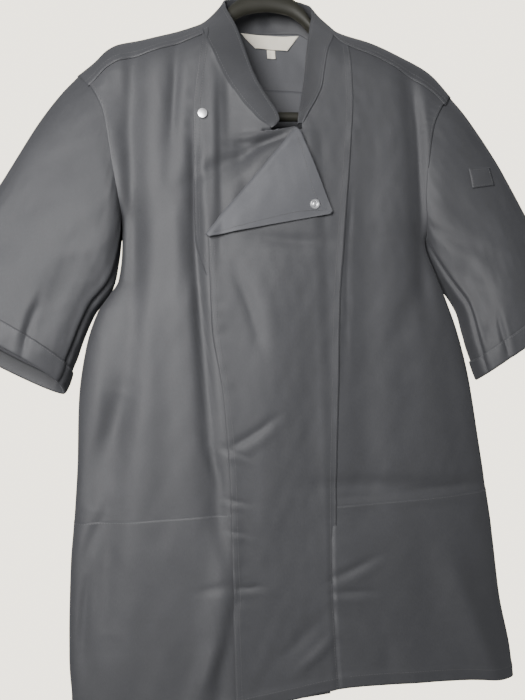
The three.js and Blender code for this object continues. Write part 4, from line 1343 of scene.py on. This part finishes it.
def sleeve_patch(u, v):
    """The small stitched pen tab on the right sleeve."""
    top, low = PATCH_CORNERS["top"], PATCH_CORNERS["low"]
    x = lerp(lerp(top[0][0], top[1][0], u), lerp(low[0][0], low[1][0], u), v)
    z = lerp(lerp(top[0][1], top[1][1], u), lerp(low[0][1], low[1][1], u), v)
    sleeve = sleeves["right"][0]
    s, t = locate(sleeve, x, z)
    swell = LAYER + 0.2 + 0.9 * np.sin(math.pi * u) * np.sin(math.pi * v)
    return sleeve.at(s, t) + sleeve.facing(s, t) * swell[..., None]


tab = surface(sleeve_patch, 16, 14)
twill_panel("sleeve_patch", tab)

# Labels sewn inside the yoke

LABEL_WALL = 0.5
LABELS = {
    "neck_label": ((-29, 43, -83, -86), (-11.5, 29, -100, -102.5)),
    "size_tab": ((3.5, 13.7, -101.4, -101.8), (3.5, 13.7, -112, -112.4)),
}


def label_face(top, bottom, stand):
    def inside(u, v):
        x = lerp(lerp(top[0], top[1], u), lerp(bottom[0], bottom[1], u), v)
        z = lerp(lerp(top[2], top[3], u), lerp(bottom[2], bottom[3], u), v)
        return body_point(turn_of(x, z), z, 1)

    flat = surface(inside, 30, 12)
    u, v = flat.grid()
    return flat.moved(stand + 1.2 * v * v + 0.5 * np.sin(u * 7 + 1) * v)


labels = {}
for name, (top, bottom) in LABELS.items():
    labels[name] = label_face(top, bottom, 2.4 if name == "neck_label" else 2.0)
    cloth(f"{name}_tape", [block(labels[name])], [name], (LABEL,), wall=LABEL_WALL)


# Hard pieces


def deselect():
    for thing in bpy.context.selected_objects:
        thing.select_set(False)


def edit(thing):
    deselect()
    thing.select_set(True)
    bpy.context.view_layer.objects.active = thing
    bpy.ops.object.mode_set(mode="EDIT")


def leave():
    bpy.ops.object.mode_set(mode="OBJECT")


def hard(thing, name, look, node):
    thing.name = thing.data.name = name
    thing.data.materials.clear()
    thing.data.materials.append(look)
    deselect()
    thing.select_set(True)
    bpy.context.view_layer.objects.active = thing
    bpy.ops.object.transform_apply(location=True, rotation=True, scale=True)
    bpy.ops.object.shade_smooth_by_angle(angle=math.radians(40))
    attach(thing, "root")
    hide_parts(node)


def section(points_across, half_height, half_depth, x, z, spin=0.0):
    """A closed oval outline in the plane across X, as the start of a bar."""
    deselect()
    bpy.ops.mesh.primitive_circle_add(
        vertices=points_across, radius=1, fill_type="NGON", rotation=(0, math.pi / 2, spin)
    )
    thing = bpy.context.object
    bpy.ops.object.transform_apply(location=False, rotation=True, scale=False)
    thing.scale = (1, half_depth * MM, half_height * MM)
    bpy.ops.object.transform_apply(location=False, rotation=False, scale=True)
    edit(thing)
    bpy.ops.mesh.select_all(action="SELECT")
    bpy.ops.transform.translate(value=(x * MM, 0, z * MM))
    return thing


ARM_HEIGHT, ARM_DEPTH, ARM_CLEARANCE = 14, 15, 2.4
CAD_CLOTH = 1.5
ARCH = [
    (-68, -99, 8), (-56, -88.5, 9.5), (-43, -75, 10.5), (-24, -64, 11), (0, -60.5, 11), (24, -64, 11),
    (42, -76.5, 10.5), (54, -93.3, 9), (66, -103, 7.5),
]


def arm_centre(x):
    return float(RIDGE(x)) - CAD_CLOTH - ARM_CLEARANCE - ARM_HEIGHT / 2


def swept(stations, depth, sides):
    """A bar extruded from station to station: each is x, z and the section's half height."""
    x, z, half = stations[0]
    thing = section(sides, half, depth / 2, x, z)
    for (x0, z0, half0), (x1, z1, half1) in zip(stations, stations[1:]):
        bpy.ops.mesh.extrude_region_move(
            TRANSFORM_OT_translate={"value": ((x1 - x0) * MM, 0, (z1 - z0) * MM)}
        )
        bpy.ops.transform.resize(value=(1, 1, half1 / half0), center_override=(x1 * MM, 0, z1 * MM))
    bpy.ops.mesh.select_all(action="SELECT")
    bpy.ops.mesh.normals_make_consistent(inside=False)
    leave()
    return thing


arm_left = [(x, arm_centre(x), ARM_HEIGHT / 2) for x in np.linspace(-178, -86, 12)]
arm_right = [(x, arm_centre(x), ARM_HEIGHT / 2) for x in np.linspace(84, 178, 12)]
arch_line = table(("x", "z", "half"), ARCH + [arm_left[-1], arm_right[0]])
arch = [(x, float(arch_line["z"](x)), float(arch_line["half"](x))) for x in np.linspace(-78, 76, 27)]
hanger = swept(arm_left + arch + arm_right, ARM_DEPTH, sides=24)
hard(hanger, "hanger_body", PLASTIC, "hanger")


def close_up():
    """Join doubled points, turn all faces outwards and leave the edit."""
    bpy.ops.mesh.select_all(action="SELECT")
    bpy.ops.mesh.remove_doubles(threshold=1e-6)
    bpy.ops.mesh.normals_make_consistent(inside=False)
    leave()


def take_end(thing, at_end):
    """Select the open end whose points (in mm) pass a test, to go on from there."""
    bpy.ops.mesh.select_all(action="DESELECT")
    leave()
    for vertex in thing.data.vertices:
        vertex.select = at_end(vertex.co / MM)
    for line in thing.data.edges:
        line.select = all(thing.data.vertices[i].select for i in line.vertices)
    edit(thing)


BAR_HALF, BAR_HEIGHT, BAR_BEND, BAR_DROP, BAR_SUNK = 5.5, -195.5, 22, 3.5, 6
BAR_LEFT, BAR_RIGHT = -158, 156
ON_END = 0.01          # mm by which a point may be off an end and count as on it


def bend_up(end, way):
    """Bend the taken end of the bar up and inwards by a quarter turn, then run it up towards the arm."""
    centre = BAR_HEIGHT + BAR_BEND
    bpy.ops.mesh.spin(
        steps=8, angle=math.pi / 2, center=((end - way * BAR_BEND) * MM, 0, centre * MM), axis=(0, -way, 0)
    )
    rise = arm_centre(end) - ARM_HEIGHT / 2 - BAR_DROP - centre + BAR_SUNK
    bpy.ops.mesh.extrude_edges_move(TRANSFORM_OT_translate={"value": (0, 0, rise * MM)})
    bpy.ops.mesh.edge_face_add()


bar = section(24, BAR_HALF, BAR_HALF, BAR_LEFT + BAR_BEND, BAR_HEIGHT)
bpy.ops.mesh.delete(type="ONLY_FACE")
bpy.ops.mesh.select_all(action="SELECT")
bpy.ops.mesh.extrude_edges_move(
    TRANSFORM_OT_translate={"value": ((BAR_RIGHT - BAR_LEFT - 2 * BAR_BEND) * MM, 0, 0)}
)
bend_up(BAR_RIGHT, 1)
take_end(bar, lambda spot: abs(spot.x - BAR_LEFT - BAR_BEND) < ON_END)
bend_up(BAR_LEFT, -1)
close_up()
hard(bar, "trouser_rail", PLASTIC, "trouser_bar")

WIRE, HOOK_RADIUS = 2, 16
HOOK_OPEN, HOOK_START = 285, 30         # degrees round the hook where it ends and where its bend begins
STEM_BEND, STEM_TURN, STEM_LENGTH = 8, 80, 9
hook_turn = HOOK_RADIUS + WIRE
hook = section(16, WIRE, WIRE, 0, -HOOK_RADIUS - hook_turn)
bpy.ops.mesh.delete(type="ONLY_FACE")
bpy.ops.mesh.select_all(action="SELECT")
bpy.ops.mesh.spin(
    steps=34, angle=math.radians(HOOK_OPEN - HOOK_START), center=(0, 0, -HOOK_RADIUS * MM), axis=(0, -1, 0)
)
bpy.ops.mesh.edge_face_add()
take_end(hook, lambda spot: abs(spot.x) < ON_END and spot.z < -HOOK_RADIUS)
bpy.ops.mesh.spin(
    steps=6,
    angle=math.radians(STEM_TURN),
    center=(0, 0, (-HOOK_RADIUS - hook_turn - STEM_BEND) * MM),
    axis=(0, -1, 0),
)
bpy.ops.mesh.extrude_edges_move(TRANSFORM_OT_translate={"value": (0, 0, -STEM_LENGTH * MM)})
bpy.ops.mesh.edge_face_add()
close_up()
hard(hook, "hook_wire_bent", WIRE_STEEL, "hook")


def turned_part(name, radius, blank, steps, bevel, place, normal, node):
    """A snap part: a round blank, stepped by insets that rise or sink, set on the cloth."""
    deselect()
    bpy.ops.mesh.primitive_cylinder_add(
        vertices=36, radius=radius * MM, depth=blank * MM, location=(0, 0, blank * MM / 2)
    )
    thing = bpy.context.object
    bpy.ops.object.transform_apply(location=True, rotation=False, scale=False)
    for face in thing.data.polygons:
        face.select = face.normal.z > 0.9
    edit(thing)
    bpy.ops.mesh.select_mode(type="FACE")
    for inset, rise in steps:
        bpy.ops.mesh.inset(thickness=inset * MM, depth=0)
        bpy.ops.transform.translate(value=(0, 0, rise * MM))
        bpy.ops.mesh.inset(thickness=0.12 * MM, depth=0)
    leave()
    ease = thing.modifiers.new("ease", "BEVEL")
    ease.width, ease.segments, ease.limit_method = bevel * MM, 2, "ANGLE"
    bpy.ops.object.modifier_apply(modifier="ease")
    spot = Matrix.Translation(Vector(place) * MM)
    aim = Vector(normal).to_track_quat("Z", "Y").to_matrix().to_4x4()
    thing.matrix_world = spot @ aim
    hard(thing, name, NICKEL, node)


stud_u, stud_v = locate(under, [-87.0], [-208.0])
stud_at, stud_out = under.at(stud_u, stud_v)[0], under.facing(stud_u, stud_v)[0]
turned_part(
    "snap_stud_cap", 5.2, 0.9, [(0.9, 0.5), (1.6, -0.3), (0.6, 1.5), (0.4, 0.4)], 0.22,
    stud_at + stud_out * 0.1, stud_out, "snap_stud",
)
SOCKET_S, SOCKET_W, SOCKET_STEP = 0.462, 0.76, 0.02
socket_grid = flap_face(
    SOCKET_S + np.array([0, SOCKET_STEP, 0]), SOCKET_W + np.array([0, 0, SOCKET_STEP])
)
socket_out = np.cross(socket_grid[1] - socket_grid[0], socket_grid[2] - socket_grid[0])
socket_out = socket_out / np.linalg.norm(socket_out)
if socket_out[1] > 0:
    socket_out = -socket_out
turned_part(
    "snap_socket_ring", 5.7, 0.8, [(0.7, 0.8), (1.3, 0.0), (0.4, -1.3), (1.0, 0.7)], 0.2,
    socket_grid[0] + socket_out * 0.1, socket_out, "snap_socket",
)

# Stitch rows

VENT_V = 0.885         # where a side front's vent begins
YOKE_SEAMS = ("left", 0.02, 1), ("right", 0.02, 1), ("bottom", ARMHOLE_SHARE, 1 - ARMHOLE_SHARE)
TWIN_ROWS = (EDGE_STITCH, SECOND_STITCH)
hemmed = (side_left, side_right, back, overlap)
rows_of_thread = [seam_points(face, "bottom", HEM_STITCH) for face in hemmed]
for face, edge, distances, start, end in [
    (overlap, "right", TWIN_ROWS, 0.02, 1),
    (overlap, "left", (EDGE_STITCH, 7), FOLD_CORNER_V + 0.01, 1),
    (under, "left", TWIN_ROWS, 0.02, FOLD_CORNER_V),
    (side_left, "left", (3,), 0.02, 0.25),
    (side_right, "right", (3,), 0.02, 0.25),
    (side_left, "left", (3,), VENT_V, 1),
    (side_right, "right", (3,), VENT_V, 1),
    *((yoke_face, edge, TWIN_ROWS, start, end) for edge, start, end in YOKE_SEAMS),
]:
    rows_of_thread += [seam_points(face, edge, distance, start, end) for distance in distances]
sewn("body_stitching", rows_of_thread, THREAD)
POCKET_SHOWN = 0.86    # share of the left pocket's width that the overlap leaves free
sewn(
    "pocket_stitching",
    [
        seam_points(pocket_left, "top", EDGE_STITCH, 0.02, POCKET_SHOWN),
        seam_points(pocket_right, "top", EDGE_STITCH, 0.04),
        seam_points(pocket_left, "bottom", HEM_STITCH, 0.02, POCKET_SHOWN),
        seam_points(pocket_right, "bottom", HEM_STITCH, 0.04),
    ],
    THREAD,
)
sewn(
    "sleeve_stitching",
    [seam_points(cuffs[hand], "top", EDGE_STITCH) for hand in cuffs]
    + [seam_points(tab, edge, EDGE_STITCH, 0.07, 0.93) for edge in ("left", "right", "top", "bottom")],
    THREAD,
)
sewn(
    "collar_stitching",
    [
        seam_points(collar, "top", 4, 0.01, 0.99, count=500),
        seam_points(collar, "bottom", 4.5, 0.03, 0.97, count=500),
    ],
    THREAD,
)


def flap_line(s, w):
    point = flap_face(s, w)
    return point + np.array([0, -0.1, 0]), np.tile(np.array([0, -1.0, 0]), (len(s), 1))


run = np.linspace(0, 0.95, 160)
sewn(
    "flap_stitching",
    [
        flap_line(0.05 + 0.45 * run**2, run),
        flap_line(1 - (0.045 + 0.45 * run**2), run),
    ],
    THREAD,
)
sewn(
    "label_stitching",
    [seam_points(labels["neck_label"], edge, 1.5) for edge in ("left", "right")],
    PALE_THREAD, pitch=2.2, length=1.5, half=0.22,
)

# Stage, light and camera: the floor lies low enough that its far edge stays out of the front view

FLOOR_SIZE, FLOOR_AT = 9, (0, -2.3, -2.32)
bpy.ops.mesh.primitive_plane_add(size=FLOOR_SIZE, location=FLOOR_AT)
floor = bpy.context.object
floor.name = "pale_floor"
paper = Look("pale_paper")
paper_grain = paper.noise(paper.place(), 6.0, 3.0)
floor.data.materials.append(
    paper.finish(Base_Color=paper.mix(paper_grain, grey(0.84), grey(0.88)), Roughness=0.85)
)


def area_light(name, place, target, size, power, tint=(1, 1, 1)):
    lamp = bpy.data.lights.new(name, "AREA")
    lamp.shape, lamp.size, lamp.size_y = "RECTANGLE", size[0], size[1]
    lamp.energy, lamp.color = power, tint
    thing = bpy.data.objects.new(name, lamp)
    thing.location = place
    thing.visible_camera = False
    thing.rotation_euler = (Vector(target) - Vector(place)).to_track_quat("-Z", "Y").to_euler()
    bpy.context.scene.collection.objects.link(thing)


area_light("key", (-0.47, -0.92, -0.22), (-0.07, -0.03, -0.47), (0.45, 0.45), 20.5, (1, 0.99, 0.985))
area_light("fill", (1.3, -1.6, 0.2), (0, 0, -0.5), (1.2, 1.6), 2, (0.93, 0.96, 1))
area_light("top", (0.1, 0.3, 1.3), (0, 0, -0.3), (1.2, 0.8), 2)
area_light("behind", (0.4, 1.9, 0.4), (0, 0, -0.4), (1.4, 1.2), 14)

# the world lights softly, and is seen as a pale wall
world = bpy.data.worlds.new("studio")
bpy.context.scene.world = world
world.use_nodes = True
nodes, links = world.node_tree.nodes, world.node_tree.links
soft = nodes["Background"]
soft.inputs["Color"].default_value = (0.80, 0.81, 0.84, 1)
soft.inputs["Strength"].default_value = 0.21
wall = nodes.new("ShaderNodeBackground")
wall.inputs["Color"].default_value = (1.0, 0.93, 0.78, 1)
wall.inputs["Strength"].default_value = 3.2
seen = nodes.new("ShaderNodeMixShader")
links.new(nodes.new("ShaderNodeLightPath").outputs["Is Camera Ray"], seen.inputs[0])
links.new(soft.outputs[0], seen.inputs[1])
links.new(wall.outputs[0], seen.inputs[2])
links.new(seen.outputs[0], nodes["World Output"].inputs["Surface"])

YAW, ROLL = math.radians(9.4), math.radians(2.6)
CAMERA_AT = (-0.15909, -0.81163, -0.470)
forward = Vector((math.sin(YAW), math.cos(YAW), 0))
rightward = Vector((math.cos(YAW), -math.sin(YAW), 0))
upward = Vector((0, 0, 1))
camera = bpy.data.objects.new("camera", bpy.data.cameras.new("camera"))
camera.data.lens = camera.data.sensor_width = 36
axes = Matrix((
    rightward * math.cos(ROLL) - upward * math.sin(ROLL),
    rightward * math.sin(ROLL) + upward * math.cos(ROLL),
    -forward,
)).transposed().to_4x4()
camera.matrix_world = Matrix.Translation(CAMERA_AT) @ axes
bpy.context.scene.collection.objects.link(camera)
bpy.context.scene.camera = camera
